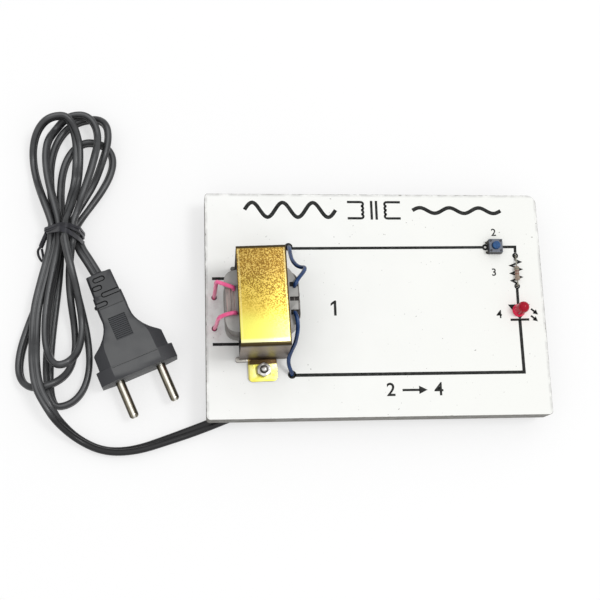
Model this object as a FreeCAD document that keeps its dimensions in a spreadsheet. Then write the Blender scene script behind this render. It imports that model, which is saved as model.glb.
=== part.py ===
import FreeCAD, Part
import math
import os

import Sketcher

# Step-down transformer demonstration board: a small mains transformer, a push switch, a resistor and
# an LED on a printed board that stands on four rubber feet, with a mains cord, a tied hank and a plug.
# Frame: X along the board's long side, Y towards its back edge, Z up, origin on the floor under the
# board's centre. All sizes are millimetres and degrees.

# ---------------------------------------------------------------- driving dimensions
DIMENSIONS = [
    # board
    ("board_length", 150.0), ("board_width", 100.0), ("board_thickness", 10.0),
    ("corner_radius", 1.5), ("worn_corner_radius", 4.0), ("sheet_thickness", 0.2),
    ("foot_height", 6.0), ("foot_radius", 5.0), ("foot_base_radius", 4.3),
    ("foot_inset_x", 7.5), ("foot_inset_y", 15.0), ("foot_edge", 0.7),
    # transformer core and frame
    ("transformer_x", -51.4), ("transformer_y", -4.3), ("core_leg_width", 6.4),
    ("window_height", 19.2), ("stack_width", 20.0), ("frame_width", 20.6), ("frame_gauge", 0.8),
    ("frame_bend", 1.2), ("tab_width", 13.4), ("tab_length", 9.8), ("tab_corner", 1.8),
    ("tab_hole_reach", 4.6), ("wall_corner_x", 3.4), ("wall_corner_z", 2.6),
    ("ear_reach", 2.2), ("ear_width", 2.6),
    # coil
    ("core_gap", 0.2), ("bobbin_wall", 0.8), ("bobbin_top_gap", 0.2), ("flange_thickness", 1.0),
    ("flange_length", 31.4), ("flange_corner", 4.5), ("tube_corner", 0.8),
    ("primary_build", 1.8), ("tape_build", 0.3), ("secondary_build", 2.0),
    ("lead_window_depth", 5.4), ("lead_window_width", 12.4), ("lead_window_y", -0.7),
    ("lead_slot_width", 1.9), ("lead_slot_y", 5.55), ("gap_slot_width", 1.5),
    # leads
    ("lead_diameter", 1.7), ("lead_hole", 2.4), ("lead_bend", 1.6),
    ("primary_x", -71.3), ("primary_a_y", 2.8), ("primary_b_y", -10.9),
    ("secondary_x", -38.5), ("secondary_a_y", 25.5), ("secondary_b_y", -31.2),
    # fasteners
    ("bolt_diameter", 3.0), ("bolt_hole", 3.2), ("bolt_length", 16.0), ("head_diameter", 5.6),
    ("head_height", 2.0), ("nut_flats", 5.5), ("nut_height", 2.4), ("washer_diameter", 7.0),
    ("washer_thickness", 0.5), ("drive_slot_width", 0.8), ("drive_slot_depth", 0.9),
    # push switch
    ("switch_x", 53.9), ("switch_y", 25.2), ("switch_side", 6.0), ("switch_base", 3.5),
    ("switch_cover", 0.3), ("well_diameter", 4.4), ("well_floor", 1.4), ("button_diameter", 3.5),
    ("button_gap", 0.05), ("button_height", 5.0), ("button_flange", 4.25), ("flange_top", 3.45),
    ("flange_bottom", 2.6), ("boss_diameter", 2.0), ("dome_height", 0.6), ("dome_gauge", 0.1),
    ("dome_diameter", 4.2), ("dome_gap", 0.05), ("rivet_diameter", 1.0), ("rivet_place", 2.25),
    ("rivet_proud", 0.25), ("button_round", 0.3), ("leg_x", 3.25), ("leg_y", 2.25),
    ("leg_width", 0.7), ("leg_gauge", 0.3),
    ("leg_drop", 3.5), ("leg_root", 1.2), ("switch_hole", 2.0), ("leg_hole", 1.2),
    # resistor
    ("resistor_x", 63.3), ("resistor_y", 13.0), ("resistor_length", 6.3), ("resistor_diameter", 2.3),
    ("resistor_end_y", 21.5), ("resistor_near_y", 7.4), ("wire_diameter", 0.6),
    ("wire_hole", 1.0), ("wire_bend", 0.8), ("resistor_round", 0.2),
    # light
    ("led_x", 62.6), ("led_y", -4.0), ("led_diameter", 5.0), ("led_rim", 5.8), ("led_rim_height", 1.0),
    ("led_height", 8.6), ("led_dome", 2.45), ("led_pitch", 2.54), ("led_wire", 0.5),
    # mains cord and what holds it under the board
    ("cord_width", 4.9), ("cord_height", 2.9), ("core_diameter", 2.4), ("core_bend", 5.0),
    ("sleeve_diameter", 3.2), ("sleeve_length", 12.0), ("sleeve_x", -61.0), ("wire_drop", 1.65),
    ("clip_x", -56.0), ("clip_y", -44.1), ("clip_angle", 19.0), ("clip_width", 5.0),
    ("clip_gauge", 0.8), ("clip_tab", 6.4), ("clip_screw_reach", 6.3), ("screw_diameter", 2.2),
    ("screw_length", 7.0), ("screw_head", 4.2), ("screw_head_height", 1.2),
    # hank and its tie
    ("hank_height", 10.6), ("tie_gauge", 1.0), ("tie_width", 6.4), ("tie_y", 36.6),
    ("waist_left", -145.1), ("waist_right", -127.0), ("tie_tail", 1.7),
    # plug
    ("plug_x", -121.1), ("plug_y", 14.9), ("plug_angle", -67.2), ("plug_axis_height", 7.0),
    ("neck_length", 18.0), ("neck_half", 5.9), ("neck_thickness", 10.4), ("collar_length", 1.0),
    ("collar_half", 3.3), ("collar_thickness", 4.6), ("body_half", 15.6), ("body_thickness", 13.6),
    ("flare_radius", 16.5), ("flare_end", 33.0), ("rim_start", 41.2), ("rim_end", 46.8),
    ("rim_half", 17.3), ("rim_thickness", 14.0), ("panel_half", 10.4), ("wing_drop", 2.6),
    ("pin_diameter", 4.0), ("pin_reach", 17.0), ("pin_pitch", 18.6), ("pin_start", 37.0),
    ("pin_round", 1.6), ("pin_root", 3.0), ("carrier_start", 35.5), ("carrier_length", 8.5),
    ("carrier_half", 12.4),
    ("carrier_thickness", 7.0), ("rib_start", 20.6), ("rib_pitch", 1.0), ("rib_gap", 0.45),
    ("rib_depth", 0.3), ("rib_half", 3.8), ("relief_depth", 2.4), ("relief_width", 1.9), ("neck_round", 1.6),
    ("rim_corner", 0.8),
]

# Routes, point by point: (x, y, z). Each wire leaves its winding through the bobbin's flange, hangs over
# the coil's side, drops through its hole in the board and runs on under it.
PRIMARY_A_ROUTE = [(-63.6, 0.3, 40.6), (-63.6, 0.3, 43.6), (-70.2, 3.6, 42.2), (-71.7, 3.3, 31.0),
                   (-71.3, 2.8, 18.0), (-71.3, 2.8, 4.35), (-61.0, 2.8, 4.35)]
PRIMARY_B_ROUTE = [(-63.2, -10.0, 40.6), (-63.2, -10.0, 43.6), (-69.6, -11.3, 41.8),
                   (-70.5, -11.9, 30.0), (-71.3, -10.9, 17.0), (-71.3, -10.9, 4.35), (-61.0, -10.9, 4.35)]
SECONDARY_A_ROUTE = [(-38.8, 1.3, 40.6), (-38.8, 1.3, 44.2), (-34.3, 8.8, 43.0), (-34.2, 11.8, 35.4),
                     (-38.2, 16.4, 28.0), (-38.5, 25.5, 20.6), (-38.5, 25.5, 4.9),
                     (50.65, 22.95, 4.9), (50.65, 22.95, 11.8)]
SECONDARY_B_ROUTE = [(-38.8, -9.9, 40.6), (-38.8, -9.9, 44.0), (-38.5, -18.6, 43.4),
                     (-39.1, -20.8, 31.0), (-40.9, -27.6, 24.0), (-38.5, -31.2, 18.0),
                     (-38.5, -31.2, 4.9), (62.6, -31.2, 4.9), (62.6, -6.2, 4.9)]
RESISTOR_FAR_ROUTE = [(63.3, 16.15, 17.5), (63.3, 21.5, 17.5), (63.3, 21.5, 4.9), (57.15, 22.95, 4.9),
                      (57.15, 22.95, 11.8)]
RESISTOR_NEAR_ROUTE = [(63.3, 9.85, 17.5), (63.3, 7.4, 17.5), (63.3, 7.4, 4.9), (62.6, -2.0, 4.9)]

# The cord under the board, clipped all the way: the two-core flat cord, then its cores apart.
CORD_TAIL_ROUTE = [(-58.36, -44.91, 4.5), (-50.0, -42.0, 4.5), (-44.0, -36.5, 4.5),
                   (-44.0, -17.5, 4.5)]
CORE_A_ROUTE = [(-42.75, -17.5, 4.35), (-42.75, 2.8, 4.35), (-61.0, 2.8, 4.35)]
CORE_B_ROUTE = [(-45.25, -17.5, 4.35), (-45.25, -10.9, 4.35), (-61.0, -10.9, 4.35)]

# The free cord: from the clip out under the front left corner and round to the hank, and from the hank
# to the plug. It lies flat on the floor.
CORD_LEAD_ROUTE = [(-58.36, -44.91, 4.5), (-64.6, -47.08, 4.5), (-72.0, -49.9, 3.6), (-80.0, -52.7, 2.2),
                   (-89.6, -56.0, 1.5), (-104.8, -60.9, 1.5), (-117.8, -61.2, 1.5),
                   (-128.6, -56.2, 1.5), (-136.6, -49.2, 2.0), (-140.6, -43.0, 2.6)]
PLUG_CORD_ROUTE = [(-128.9, 27.6, 6.0), (-124.01, 21.81, 7.0), (-121.4875, 15.8219, 7.0)]
UPPER_LOBE = [(-154.2, 71.0), (-150.6, 89.0), (-136.5, 94.6), (-118.0, 93.6), (-112.6, 74.0)]
LOWER_LOBE = [(-127.6, -14.0), (-129.2, -34.0), (-138.6, -44.6), (-154.0, -38.0), (-156.0, -14.0)]
TIE_TAIL_ROUTE = [(-144.6, 36.6, 5.0), (-147.9, 36.2, 5.0), (-151.3, 32.6, 4.2), (-154.4, 26.2, 3.2)]

doc = FreeCAD.newDocument("StepDownTransformerBoard")
sheet = doc.addObject("Spreadsheet::Sheet", "Size")
for row, (alias, value) in enumerate(DIMENSIONS, start=1):
    sheet.set(f"A{row}", alias)
    sheet.set(f"B{row}", str(value))
    sheet.setAlias(f"B{row}", alias)
doc.recompute()

BOARD_TOP = "Size.foot_height + Size.board_thickness"
DECK = BOARD_TOP + " + Size.sheet_thickness"
CORE_HALF = "3 * Size.core_leg_width"
CORE_HEIGHT = "2 * Size.core_leg_width + Size.window_height"
HOLE_OFFSET = f"({CORE_HALF} + Size.frame_gauge + Size.tab_hole_reach)"
FLANGE_HALF_Y = "2 * Size.core_leg_width - Size.core_gap"
COIL_BASE = DECK + " + Size.core_leg_width"
WINDING_HEIGHT = "Size.window_height - Size.bobbin_top_gap - 2 * Size.flange_thickness"
TUBE_HALF_X = "Size.stack_width / 2 + Size.core_gap + Size.bobbin_wall"
TUBE_HALF_Y = "Size.core_leg_width + Size.core_gap + Size.bobbin_wall"
NUT_SEAT = DECK + " + Size.frame_gauge"


# ---------------------------------------------------------------- ways of building
def number(expression):
    """What an expression over the sheet is worth now."""
    return float(sheet.evalExpression(expression))


def vectors(points):
    return [FreeCAD.Vector(*point) for point in points]


def place(item, x="0", y="0", z="0", angle=None):
    """Stands an object at a bound place, turned about Z by a bound angle."""
    item.setExpression("Placement.Base.x", x)
    item.setExpression("Placement.Base.y", y)
    item.setExpression("Placement.Base.z", z)
    if angle:
        item.setExpression("Placement.Rotation.Angle", angle)


def new_body(name):
    body = doc.addObject("PartDesign::Body", name)
    body.Label = name
    return body


def new_sketch(body, name, role="XY_Plane", offset="0"):
    """A sketch on one of the body's own origin planes, raised from it by a bound offset."""
    sketch = body.newObject("Sketcher::SketchObject", name)
    plane = next(item for item in body.Origin.OriginFeatures if item.Role == role)
    sketch.AttachmentSupport = [(plane, "")]
    sketch.MapMode = "FlatFace"
    sketch.setExpression("AttachmentOffset.Base.z", offset)
    return sketch


def pin_point(sketch, line, end, across, up):
    """Holds one point of the sketch at a bound place; "0" puts it on the axis itself."""
    for kind, axis, expression in (("DistanceX", -2, across), ("DistanceY", -1, up)):
        if expression == "0":
            sketch.addConstraint(Sketcher.Constraint("PointOnObject", line, end, axis))
            continue
        rule = Sketcher.Constraint(kind, -1, 1, line, end, number(expression))
        sketch.setExpression(f"Constraints[{sketch.addConstraint(rule)}]", expression)


def polygon(sketch, corners):
    """A closed outline of straight lines, every corner bound to the sheet."""
    spots = [FreeCAD.Vector(number(across), number(up), 0) for across, up in corners]
    lines = [sketch.addGeometry(Part.LineSegment(spot, spots[(index + 1) % len(spots)]), False)
             for index, spot in enumerate(spots)]
    for index, line in enumerate(lines):
        following = lines[(index + 1) % len(lines)]
        sketch.addConstraint(Sketcher.Constraint("Coincident", line, 2, following, 1))
    for line, (across, up) in zip(lines, corners):
        pin_point(sketch, line, 1, across, up)


def rectangle(sketch, left, low, right, high):
    polygon(sketch, [(left, low), (right, low), (right, high), (left, high)])


def centred_rectangle(sketch, half_x, half_y):
    rectangle(sketch, f"-({half_x})", f"-({half_y})", half_x, half_y)


def circle(sketch, across, up, diameter):
    centre = FreeCAD.Vector(number(across), number(up), 0)
    ring = sketch.addGeometry(Part.Circle(centre, FreeCAD.Vector(0, 0, 1), number(diameter) / 2), False)
    pin_point(sketch, ring, 3, across, up)
    size = sketch.addConstraint(Sketcher.Constraint("Diameter", ring, number(diameter)))
    sketch.setExpression(f"Constraints[{size}]", diameter)


def pad(body, sketch, length, midplane=False):
    feature = body.newObject("PartDesign::Pad", sketch.Name + "_pad")
    feature.Profile = sketch
    feature.Midplane = midplane
    feature.setExpression("Length", length)
    doc.recompute()
    return feature


def pocket(body, sketch, depth=None):
    """Cuts a sketch both ways from its plane: right through, or to a bound depth on each side."""
    before = body.Shape.Volume
    feature = body.newObject("PartDesign::Pocket", sketch.Name + "_pocket")
    feature.Profile = sketch
    feature.Midplane = True
    if depth:
        feature.setExpression("Length", f"2 * ({depth})")
    else:
        feature.Type = "ThroughAll"
    doc.recompute()
    if body.Shape.Volume > before - 1e-6:
        raise RuntimeError(f"{feature.Name} cuts nothing")
    return feature


def revolve(body, sketch):
    feature = body.newObject("PartDesign::Revolution", sketch.Name + "_turn")
    feature.Profile = sketch
    feature.ReferenceAxis = (sketch, ["V_Axis"])
    feature.Angle = 360
    doc.recompute()
    return feature


def dress(body, kind, name, chosen, size):
    """A fillet or chamfer of bound size on the edges that the test picks."""
    doc.recompute()
    base = body.Tip
    picked = [f"Edge{index}" for index, edge in enumerate(base.Shape.Edges, start=1) if chosen(edge)]
    if not picked:
        raise RuntimeError(f"{name} finds no edge")
    feature = body.newObject(f"PartDesign::{kind}", name)
    feature.Base = (base, picked)
    feature.setExpression("Radius" if kind == "Fillet" else "Size", size)
    doc.recompute()
    return feature


def upright(edge):
    box = edge.BoundBox
    return box.ZLength > 1e-3 and box.XLength < 1e-3 and box.YLength < 1e-3


def level_at(height):
    return lambda edge: abs(edge.BoundBox.ZMin - height) < 1e-3 and edge.BoundBox.ZLength < 1e-3


def turned(name, profile, x="0", y="0", z="0"):
    """A body turned about its own upright axis from (radius, height) corners."""
    body = new_body(name)
    sketch = new_sketch(body, name + "_profile", "XZ_Plane")
    polygon(sketch, profile)
    revolve(body, sketch)
    place(body, x, y, z)
    return body


def plate(name, half_x, half_y, height, z):
    """A rectangular slab with its underside at z."""
    body = new_body(name)
    sketch = new_sketch(body, name + "_outline")
    centred_rectangle(sketch, half_x, half_y)
    pad(body, sketch, height)
    place(body, z=z)
    return body


def group(name, items):
    """Separate identical solids in one node."""
    bundle = doc.addObject("Part::Compound", name)
    bundle.Label = name
    bundle.Links = items
    return bundle


def shaped(name, shape):
    feature = doc.addObject("Part::Feature", name)
    feature.Label = name
    feature.Shape = shape
    return feature


def rounded_route(points, largest_bend=None):
    """Straight runs joined by tangent arcs, each as large as its two runs allow or as stated."""
    spots = vectors(points)
    edges, start, radii = [], spots[0], []
    for before, corner, after in zip(spots, spots[1:], spots[2:]):
        arriving = (corner - before).normalize()
        leaving = (after - corner).normalize()
        half_turn = arriving.getAngle(leaving) / 2
        shorter_run = min(corner.distanceToPoint(before), corner.distanceToPoint(after))
        radius = 0.45 * shorter_run / math.tan(half_turn)
        radius = min(radius, largest_bend or radius)
        setback = radius * math.tan(half_turn)
        middle = corner + (leaving - arriving).normalize() * (radius / math.cos(half_turn) - radius)
        arc_start, arc_end = corner - arriving * setback, corner + leaving * setback
        edges.append(Part.LineSegment(start, arc_start).toShape())
        edges.append(Part.Arc(arc_start, middle, arc_end).toShape())
        start = arc_end
        radii.append(round(radius, 1))
    edges.append(Part.LineSegment(start, spots[-1]).toShape())
    return edges, radii


def swept(section, route):
    """A section carried along the route: pushed down each straight run and turned round each arc."""
    face, pieces = Part.Face(section), []
    for edge in route:
        start, end = edge.valueAt(edge.FirstParameter), edge.valueAt(edge.LastParameter)
        if edge.Curve.TypeId == "Part::GeomLine":
            pieces.append(face.extrude(end - start))
            face.translate(end - start)
        else:
            centre, axis = edge.Curve.Center, edge.Curve.Axis
            angle = math.degrees(edge.LastParameter - edge.FirstParameter)
            pieces.append(face.revolve(centre, axis, angle))
            face.rotate(centre, axis, angle)
    return pieces[0].fuse(pieces[1:])


def round_wire(points, diameter, largest_bend=None):
    """A round wire along a route."""
    route, _ = rounded_route(points, largest_bend)
    start, following = vectors(points[:2])
    return swept(Part.Wire(Part.makeCircle(diameter / 2, start, following - start)), route)


def flat_cord(name, points, width, height):
    """The flat two-core cord along a route: a section with round ends, its wide side level."""
    route, radii = rounded_route(points)
    start, following = vectors(points[:2])
    ahead = (following - start).normalize()
    side = FreeCAD.Vector(0, 0, 1).cross(ahead).normalize()
    up = ahead.cross(side)
    reach, radius = side * ((width - height) / 2), height / 2
    left, right = start + reach, start - reach
    section = Part.Wire([
        Part.LineSegment(right + up * radius, left + up * radius).toShape(),
        Part.Arc(left + up * radius, left + side * radius, left - up * radius).toShape(),
        Part.LineSegment(left - up * radius, right - up * radius).toShape(),
        Part.Arc(right - up * radius, right - side * radius, right + up * radius).toShape()])
    cord = swept(section, route)
    length = sum(edge.Length for edge in route)
    print(f"{name}: length {length:.1f}, bend radii {radii}, volume {cord.Volume:.1f},"
          f" section times length {Part.Face(section).Area * length:.1f}")
    return shaped(name, cord)


# ---------------------------------------------------------------- board, printed sheet and feet
SWITCH_LEGS = [(f"Size.switch_x {sx} Size.leg_x", f"Size.switch_y {sy} Size.leg_y")
               for sx in "+-" for sy in "+-"]
BOLT_PLACES = [("Size.transformer_x", f"Size.transformer_y {side} {HOLE_OFFSET}") for side in "+-"]
FOOT_PLACES = [(f"{sx}(Size.board_length / 2 - Size.foot_inset_x)",
                f"{sy}(Size.board_width / 2 - Size.foot_inset_y)") for sx in ("", "-") for sy in ("", "-")]
LED_LEGS = [("Size.led_x", f"Size.led_y {side} Size.led_pitch / 2") for side in "+-"]
DRILLINGS = (
    [(x, y, "Size.bolt_hole") for x, y in BOLT_PLACES]
    + [("Size.primary_x", f"Size.primary_{end}_y", "Size.lead_hole") for end in "ab"]
    + [("Size.secondary_x", f"Size.secondary_{end}_y", "Size.lead_hole") for end in "ab"]
    + [(x, y, "Size.wire_hole") for x, y in LED_LEGS]
    + [("Size.resistor_x", f"Size.resistor_{end}_y", "Size.wire_hole") for end in ("end", "near")])
CLIP_SCREW_PLACE = ("Size.clip_x - Size.clip_screw_reach * sin(Size.clip_angle)",
                    "Size.clip_y + Size.clip_screw_reach * cos(Size.clip_angle)")


def drilled_slab(name, thickness, z, leg_hole):
    """The board or its sheet: rounded corners, the back right one worn, drilled for every wire."""
    body = plate(name, "Size.board_length / 2", "Size.board_width / 2", thickness, z)

    def at_worn_corner(edge):
        return upright(edge) and edge.BoundBox.XMin > 0 and edge.BoundBox.YMin > 0

    dress(body, "Fillet", name + "_worn_corner", at_worn_corner, "Size.worn_corner_radius")
    dress(body, "Fillet", name + "_corners",
          lambda edge: upright(edge) and (edge.BoundBox.XMin < 0 or edge.BoundBox.YMin < 0),
          "Size.corner_radius")
    holes = new_sketch(body, name + "_holes")
    for x, y, diameter in DRILLINGS + [(x, y, leg_hole) for x, y in SWITCH_LEGS]:
        circle(holes, x, y, diameter)
    pocket(body, holes)
    return body


base_board = drilled_slab("base_board", "Size.board_thickness", "Size.foot_height", "Size.switch_hole")
printed_sheet = drilled_slab("printed_sheet", "Size.sheet_thickness", BOARD_TOP, "Size.leg_hole")
screw_hole = new_sketch(base_board, "board_clip_screw_hole")
circle(screw_hole, *CLIP_SCREW_PLACE, "Size.screw_diameter")
pocket(base_board, screw_hole, "Size.screw_length - 2")

feet = []
for index, (x, y) in enumerate(FOOT_PLACES):
    feet.append(turned(f"foot_{index}", [
        ("0", "0"), ("Size.foot_base_radius - Size.foot_edge", "0"),
        ("Size.foot_base_radius", "Size.foot_edge"), ("Size.foot_radius", "Size.foot_height"),
        ("0", "Size.foot_height")], x, y))
board_feet = group("board_feet", feet)


# ---------------------------------------------------------------- transformer core and frame
def build_frame():
    """One bent strip: top, two walls with cut lower corners, a tab and two small ears at the feet."""
    body = new_body("transformer_frame")
    wall_y = f"{CORE_HALF} + Size.frame_gauge"
    top_z = f"{CORE_HEIGHT} + Size.frame_gauge"
    block = new_sketch(body, "frame_block")
    centred_rectangle(block, "Size.frame_width / 2", wall_y)
    pad(body, block, top_z)
    height = number(top_z)
    dress(body, "Fillet", "frame_bends",
          lambda edge: level_at(height)(edge) and edge.BoundBox.YLength < 1e-3, "Size.frame_bend")
    corners = new_sketch(body, "frame_wall_corners", "XZ_Plane")
    for side in ("", "-"):
        polygon(corners, [(f"{side}(Size.frame_width / 2 - Size.wall_corner_x)", "0"),
                          (f"{side}(Size.frame_width / 2 + 1)", "0"),
                          (f"{side}(Size.frame_width / 2 + 1)", "Size.wall_corner_z"),
                          (f"{side}(Size.frame_width / 2)", "Size.wall_corner_z")])
    pocket(body, corners)
    inside = new_sketch(body, "frame_inside", "YZ_Plane")
    rectangle(inside, f"-{CORE_HALF}", "-1", CORE_HALF, CORE_HEIGHT)
    pocket(body, inside)
    for side, name in (("", "back"), ("-", "front")):
        tab = new_sketch(body, f"frame_{name}_tab")
        rectangle(tab, "-Size.tab_width / 2", f"{side}({CORE_HALF})",
                  "Size.tab_width / 2", f"{side}({wall_y} + Size.tab_length)")
        pad(body, tab, "Size.frame_gauge")
    reach = number(f"{wall_y} + Size.tab_length")
    dress(body, "Fillet", "frame_tab_corners",
          lambda edge: upright(edge) and abs(edge.BoundBox.YMin) > reach - 0.1, "Size.tab_corner")
    for side, name in (("", "back"), ("-", "front")):
        ear = new_sketch(body, f"frame_{name}_ear")
        rectangle(ear, "-(Size.frame_width / 2 + Size.ear_reach)", f"{side}({wall_y})",
                  "-(Size.tab_width / 2 - 1)", f"{side}({wall_y} - Size.frame_gauge)")
        pad(body, ear, "Size.ear_width")
    rear = number("Size.frame_width / 2 + Size.ear_reach")
    dress(body, "Fillet", "frame_ear_ends",
          lambda edge: edge.BoundBox.YLength > 0.5 and edge.BoundBox.XMax < -rear + 1e-3
          and edge.BoundBox.ZLength < 1e-3, "Size.ear_width / 2 - 0.1")
    holes = new_sketch(body, "frame_holes")
    for side in ("", "-"):
        circle(holes, "0", f"{side}{HOLE_OFFSET}", "Size.bolt_hole")
    pocket(body, holes)
    place(body, "Size.transformer_x", "Size.transformer_y", DECK)
    return body


def build_core_e():
    """The stack of E laminations: back at the bottom, three legs up."""
    body = new_body("core_e_laminations")
    outline = new_sketch(body, "core_e_outline", "YZ_Plane")
    rectangle(outline, f"-{CORE_HALF}", "0", CORE_HALF,
              "Size.core_leg_width + Size.window_height")
    pad(body, outline, "Size.stack_width", midplane=True)
    windows = new_sketch(body, "core_e_windows", "YZ_Plane")
    for side in ("", "-"):
        rectangle(windows, f"{side}Size.core_leg_width", "Size.core_leg_width",
                  f"{side}2 * Size.core_leg_width", "Size.core_leg_width + Size.window_height + 1")
    pocket(body, windows)
    place(body, "Size.transformer_x", "Size.transformer_y", DECK)
    return body


transformer_frame = build_frame()
core_e = build_core_e()
core_i = plate("core_i_laminations", "Size.stack_width / 2", CORE_HALF, "Size.core_leg_width",
               f"{COIL_BASE} + Size.window_height")
place(core_i, "Size.transformer_x", "Size.transformer_y", f"{COIL_BASE} + Size.window_height")


# ---------------------------------------------------------------- bobbin, windings and tape
def round_corners(body, name, half_x, half_y, corner):
    """Rounds the four upright edges that stand at the corners of a centred rectangle."""
    corner_x, corner_y = number(half_x), number(half_y)

    def at_corner(edge):
        box = edge.BoundBox
        return upright(edge) and max(abs(abs(box.XMin) - corner_x), abs(abs(box.YMin) - corner_y)) < 1e-3

    dress(body, "Fillet", name, at_corner, corner)


def build_bobbin():
    """A square tube between two flanges; the top one is open where the leads come out."""
    body = new_body("bobbin")
    height = "Size.window_height - Size.bobbin_top_gap"
    tube = new_sketch(body, "bobbin_tube")
    centred_rectangle(tube, TUBE_HALF_X, TUBE_HALF_Y)
    pad(body, tube, height)
    round_corners(body, "bobbin_tube_corners", TUBE_HALF_X, TUBE_HALF_Y, "Size.tube_corner")
    for name, offset in (("low", "0"), ("high", f"{height} - Size.flange_thickness")):
        flange = new_sketch(body, f"bobbin_{name}_flange", offset=offset)
        centred_rectangle(flange, "Size.flange_length / 2", FLANGE_HALF_Y)
        pad(body, flange, "Size.flange_thickness")
    round_corners(body, "bobbin_flange_corners", "Size.flange_length / 2", FLANGE_HALF_Y,
                  "Size.flange_corner")
    bore = new_sketch(body, "bobbin_bore")
    centred_rectangle(bore, "Size.stack_width / 2 + Size.core_gap", "Size.core_leg_width + Size.core_gap")
    pocket(body, bore)
    windows = new_sketch(body, "bobbin_lead_windows", offset=height)
    outside = "Size.flange_length / 2 + 1"
    inside = "Size.flange_length / 2 - Size.lead_window_depth"
    rectangle(windows, f"-({outside})", "Size.lead_window_y - Size.lead_window_width / 2",
              f"-({inside})", "Size.lead_window_y + Size.lead_window_width / 2")
    for middle, width in (("Size.lead_slot_y", "Size.lead_slot_width"),
                          ("-Size.lead_slot_y", "Size.lead_slot_width"), ("0", "Size.gap_slot_width")):
        rectangle(windows, inside, f"{middle} - {width} / 2", outside, f"{middle} + {width} / 2")
    pocket(body, windows, "Size.flange_thickness")
    place(body, "Size.transformer_x", "Size.transformer_y", COIL_BASE)
    return body


def build_layer(name, inner, outer):
    """One layer of the coil, from one build-up over the bobbin's tube to the next."""
    body = new_body(name)
    outline = new_sketch(body, name + "_outline")
    bore = new_sketch(body, name + "_bore")
    for sketch, build in ((outline, outer), (bore, inner)):
        centred_rectangle(sketch, f"{TUBE_HALF_X} + {build}", f"{TUBE_HALF_Y} + {build}")
    pad(body, outline, WINDING_HEIGHT)
    pocket(body, bore)
    for place_name, build in (("inner", inner), ("outer", outer)):
        round_corners(body, f"{name}_{place_name}_corners", f"{TUBE_HALF_X} + {build}",
                      f"{TUBE_HALF_Y} + {build}", f"Size.tube_corner + {build}")
    place(body, "Size.transformer_x", "Size.transformer_y", f"{COIL_BASE} + Size.flange_thickness")
    return body


bobbin = build_bobbin()
PRIMARY_OUT = "Size.primary_build"
INNER_TAPE_OUT = f"{PRIMARY_OUT} + Size.tape_build"
SECONDARY_OUT = f"{INNER_TAPE_OUT} + Size.secondary_build"
OUTER_TAPE_OUT = f"{SECONDARY_OUT} + Size.tape_build"
primary_winding = build_layer("primary_winding", "0", PRIMARY_OUT)
interlayer_tape = build_layer("interlayer_tape", PRIMARY_OUT, INNER_TAPE_OUT)
secondary_winding = build_layer("secondary_winding", INNER_TAPE_OUT, SECONDARY_OUT)
outer_tape = build_layer("outer_tape", SECONDARY_OUT, OUTER_TAPE_OUT)


# ---------------------------------------------------------------- leads of the two windings
def build_lead(name, route):
    return shaped(name, round_wire(route, sheet.lead_diameter, sheet.lead_bend))


primary_leads = [build_lead("primary_lead_a", PRIMARY_A_ROUTE), build_lead("primary_lead_b", PRIMARY_B_ROUTE)]
secondary_leads = [build_lead("secondary_lead_a", SECONDARY_A_ROUTE),
                   build_lead("secondary_lead_b", SECONDARY_B_ROUTE)]


# ---------------------------------------------------------------- bolts, nuts and washers
def build_bolt(name, x, y):
    """A slotted pan-head bolt, head under the board and end up through the nut."""
    tip = "Size.head_height + Size.bolt_length"
    radius = "Size.bolt_diameter / 2"
    body = turned(name, [("0", "0"), ("Size.head_diameter / 2 - 0.5", "0"),
                         ("Size.head_diameter / 2", "0.6"), ("Size.head_diameter / 2", "Size.head_height"),
                         (radius, "Size.head_height"), (radius, f"{tip} - 0.5"),
                         (f"{radius} - 0.4", tip), ("0", tip)],
                  x, y, "Size.foot_height - Size.washer_thickness - Size.head_height")
    slot = new_sketch(body, name + "_slot")
    centred_rectangle(slot, "Size.head_diameter / 2 + 1", "Size.drive_slot_width / 2")
    pocket(body, slot, "Size.drive_slot_depth")
    return body


def build_nut(name, x, y):
    body = new_body(name)
    hexagon = new_sketch(body, name + "_hexagon")
    polygon(hexagon, [(f"Size.nut_flats / sqrt(3) * cos({60 * side + 15})",
                       f"Size.nut_flats / sqrt(3) * sin({60 * side + 15})") for side in range(6)])
    pad(body, hexagon, "Size.nut_height")
    bore = new_sketch(body, name + "_bore")
    circle(bore, "0", "0", "Size.bolt_diameter")
    pocket(body, bore)
    place(body, x, y, NUT_SEAT)
    return body


def build_washer(name, x, y):
    inner, outer = "Size.bolt_hole / 2", "Size.washer_diameter / 2"
    return turned(name, [(inner, "0"), (outer, "0"), (outer, "Size.washer_thickness"),
                         (inner, "Size.washer_thickness")], x, y, "Size.foot_height - Size.washer_thickness")


mounting_bolts = group("mounting_bolts", [build_bolt(f"bolt_{i}", *at) for i, at in enumerate(BOLT_PLACES)])
mounting_nuts = group("mounting_nuts", [build_nut(f"nut_{i}", x, y) for i, (x, y) in enumerate(BOLT_PLACES)])
mounting_washers = group("mounting_washers",
                         [build_washer(f"washer_{i}", x, y) for i, (x, y) in enumerate(BOLT_PLACES)])


# ---------------------------------------------------------------- push switch
RIVET_PLACES = [(f"{sx}Size.rivet_place", f"{sy}Size.rivet_place") for sx in ("", "-") for sy in ("", "-")]


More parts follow.
